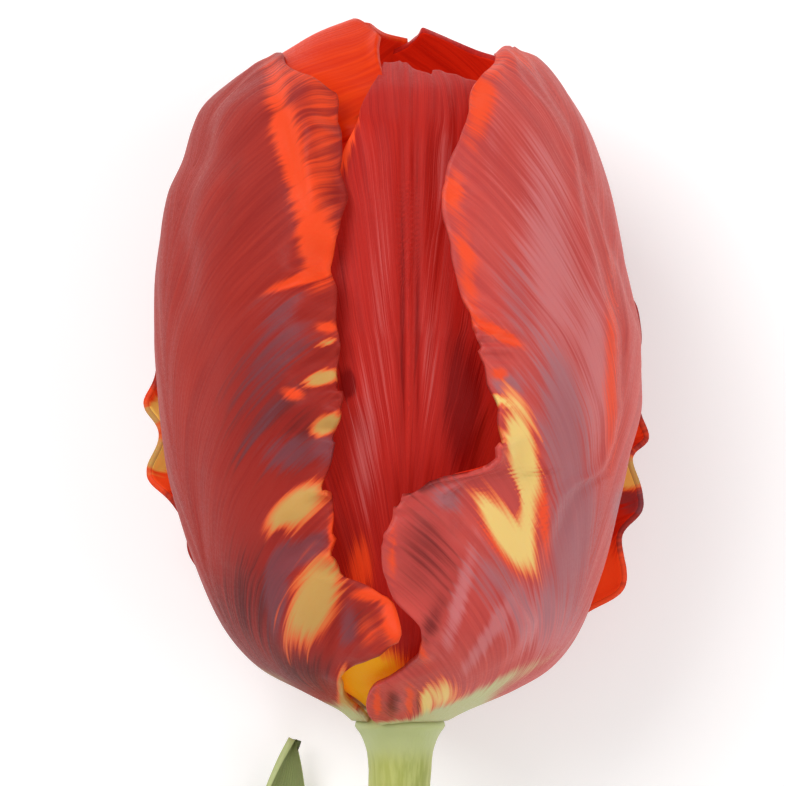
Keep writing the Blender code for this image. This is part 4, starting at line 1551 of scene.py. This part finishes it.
class PollenNodes(Wiring):
    """A Geometry Nodes group that dusts a surface with grains."""

    def __init__(self, material: bpy.types.Material) -> None:
        """Builds the group.

        Args:
            material: The grains' material.
        """
        super().__init__(bpy.data.node_groups.new("pollen_dust", "GeometryNodeTree"))
        socket = self.tree.interface.new_socket
        socket("Surface", in_out="INPUT", socket_type="NodeSocketGeometry")
        socket("Density", in_out="INPUT", socket_type="NodeSocketFloat").default_value = 1.1e6
        socket("Grain size", in_out="INPUT", socket_type="NodeSocketFloat").default_value = 0.00016
        socket("Seed", in_out="INPUT", socket_type="NodeSocketInt").default_value = 5
        socket("Dusted", in_out="OUTPUT", socket_type="NodeSocketGeometry")
        enter = self.node("NodeGroupInput").outputs
        scatter = self.node(
            "GeometryNodeDistributePointsOnFaces",
            {"Mesh": enter["Surface"], "Density": enter["Density"], "Seed": enter["Seed"]},
        )
        grain = self.node("GeometryNodeMeshIcoSphere", {"Radius": enter["Grain size"], "Subdivisions": 1})
        grains = {"Points": scatter.outputs["Points"], "Instance": grain.outputs["Mesh"]}
        place = self.node("GeometryNodeInstanceOnPoints", grains)
        real = self.node("GeometryNodeRealizeInstances", {"Geometry": place.outputs["Instances"]})
        paint = self.node(
            "GeometryNodeSetMaterial", {"Geometry": real.outputs["Geometry"], "Material": material}
        )
        join = self.node("GeometryNodeJoinGeometry", {"Geometry": enter["Surface"]})
        self.feed(join.inputs["Geometry"], paint.outputs["Geometry"])
        self.node("NodeGroupOutput", {"Dusted": join.outputs["Geometry"]})

    def dust(self, obj: bpy.types.Object) -> None:
        """Dusts an object and keeps the result as its mesh."""
        obj.modifiers.new("Pollen", "NODES").node_group = self.tree
        apply_modifiers(obj)


@dataclass(frozen=True)
class Stamens:
    """The ring of six stamens round the pistil, each a filament with its anther.

    Attributes:
        stalk: Radius of the filament by share of the stamen's length.
        head: Radius of the anther by share.
        count: How many there are.
        foot: Height of the lower end over the receptacle's base.
        tall: How tall a stamen is.
        near: Distance of the lower end from the axis.
        lean: How much further out the upper end is.
    """

    stalk: Keys = ((0, 0.65), (0.2, 0.6), (0.52, 0.45))
    head: Keys = ((0.5, 0.5), (0.54, 1.1), (0.6, 1.5), (0.75, 1.6), (0.9, 1.4), (0.97, 1), (1, 0.5))
    count: int = 6
    foot: float = 3.35
    tall: float = 25.0
    near: float = 3.6
    lean: float = 4.6

    def line(self, share: np.ndarray, angle: float, resting: Resting) -> np.ndarray:
        """The centre line of a stamen at shares of its length, in metres."""
        distance = self.near + self.lean * share**0.8
        return resting.place(round_axis(distance, self.foot + self.tall * share, angle))

    def build(self, resting: Resting, finishes: Finishes) -> list[bpy.types.Object]:
        """Builds and dresses the stamens.

        Args:
            resting: Where the bloom rests.
            finishes: The shared materials.

        Returns:
            The filament and the anther of each stamen.
        """
        low, high = np.linspace(0.0, 0.52, 10), np.linspace(0.5, 1.0, 24)
        filament, anther = TubeNodes(finishes.of(FILAMENT_FINISH)), TubeNodes(finishes.of(ANTHER_FINISH))
        pollen = PollenNodes(finishes.of(POLLEN_FINISH))
        pieces = []
        for number in range(1, self.count + 1):
            angle = math.radians(60 * number - 30)
            stalk_line, head_line = self.line(low, angle, resting), self.line(high, angle, resting)
            stalk = filament.sweep(f"filament_{number}", stalk_line, ease(self.stalk, low) * MM, {})
            head = anther.sweep(f"anther_{number}", head_line, ease(self.head, high) * MM, {})
            pollen.dust(head)
            pieces += [dress(piece, f"stamen_{number}") for piece in (stalk, head)]
        return pieces


def aim(obj: bpy.types.Object, place: Vector, target: Vector) -> None:
    """Puts a light or a camera at a place and turns it to a target."""
    obj.location = place
    obj.rotation_euler = (target - place).to_track_quat("-Z", "Y").to_euler()


@dataclass(frozen=True)
class Lamp:
    """A soft square light that faces the bloom, in metres and watts."""

    name: str
    place: Triple
    size: float
    power: float

    def hang(self, target: Vector) -> None:
        """Hangs the light.

        Args:
            target: What it faces.
        """
        data = bpy.data.lights.new(self.name, "AREA")
        data.size, data.energy = self.size, self.power
        aim(link_object(self.name, data), Vector(self.place), target)


@dataclass(frozen=True)
class Studio:
    """A pale floor, soft light and the camera at the photograph's view.

    Attributes:
        width: Width of the photograph's frame on the plane of the bloom's axis.
        centre: The frame's centre in bloom coordinates.
        distance: Distance of the camera from it.
        sensor: The camera's sensor.
        lamps: The lights.
        sky: Strength of the light all round.
        floor: Half width of the floor, in metres.
    """

    width: float = 101.4
    centre: tuple[float, float] = (-0.9, 44.1)
    distance: float = 1000.0
    sensor: float = 36.0
    lamps: tuple[Lamp, ...] = (
        Lamp("key", (-0.42, 0.30, 0.75), 0.55, 4.6),
        Lamp("fill", (0.55, -0.05, 0.60), 0.60, 2.0),
        Lamp("low", (0.0, -0.60, 0.45), 0.50, 0.5),
    )
    sky: float = 0.45
    floor: float = 3.0

    def build(self, resting: Resting) -> None:
        """Sets up the floor, the camera, the lamps and the sky.

        Args:
            resting: Where the bloom rests.
        """
        self.lay_floor()
        frame = np.array(((*self.centre, 0.0), (*self.centre, self.distance)))
        target, eye = (Vector(point) for point in resting.place(frame))
        data = bpy.data.cameras.new("camera")
        data.sensor_width = self.sensor
        data.lens = self.sensor * self.distance / self.width
        data.clip_start = 0.01
        camera = link_object("camera", data)
        aim(camera, eye, target)
        bpy.context.scene.camera = camera
        for lamp in self.lamps:
            lamp.hang(target)
        world = bpy.data.worlds.new("studio")
        world.use_nodes = True
        back = world.node_tree.nodes["Background"].inputs
        back["Color"].default_value = (1.0, 1.0, 1.0, 1.0)
        back["Strength"].default_value = self.sky
        bpy.context.scene.world = world
        bpy.context.scene.view_settings.view_transform = "Standard"

    def lay_floor(self) -> None:
        mesh, t, s = grid_points(1, 1)
        set_points(mesh, self.floor * np.stack((t, 2 * s - 1, 0 * t), axis=-1))
        paint = Skin("floor_paint")
        paint.shade({
            "Base Color": (0.93, 0.93, 0.93, 1.0),
            "Roughness": 0.9,
            "Emission Color": (1.0, 1.0, 1.0, 1.0),
            "Emission Strength": 0.22,
        })
        mesh.materials.append(paint.material)
        link_object("floor", mesh)


def main() -> None:
    """Loads the frame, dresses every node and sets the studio."""
    logging.basicConfig(level=logging.INFO)
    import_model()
    back = outer_back()
    tepals = (outer_left(), outer_right(), back, inner_front(), inner_back_left(), inner_back_right())
    resting = Resting.on(back)
    LOG.info("receptacle %.2f mm up, flat spot at %.2f mm", resting.lift, resting.rest_y)
    finishes = Finishes()
    pieces = [part.build(resting, finishes) for part in (*tepals, Stem(), *LEAVES, Pistil())]
    pieces += Stamens().build(resting, finishes)
    for piece in pieces:
        LOG.info("%s: %d faces", piece.name, len(piece.data.polygons))
    Studio().build(resting)


if __name__ == "__main__":
    main()
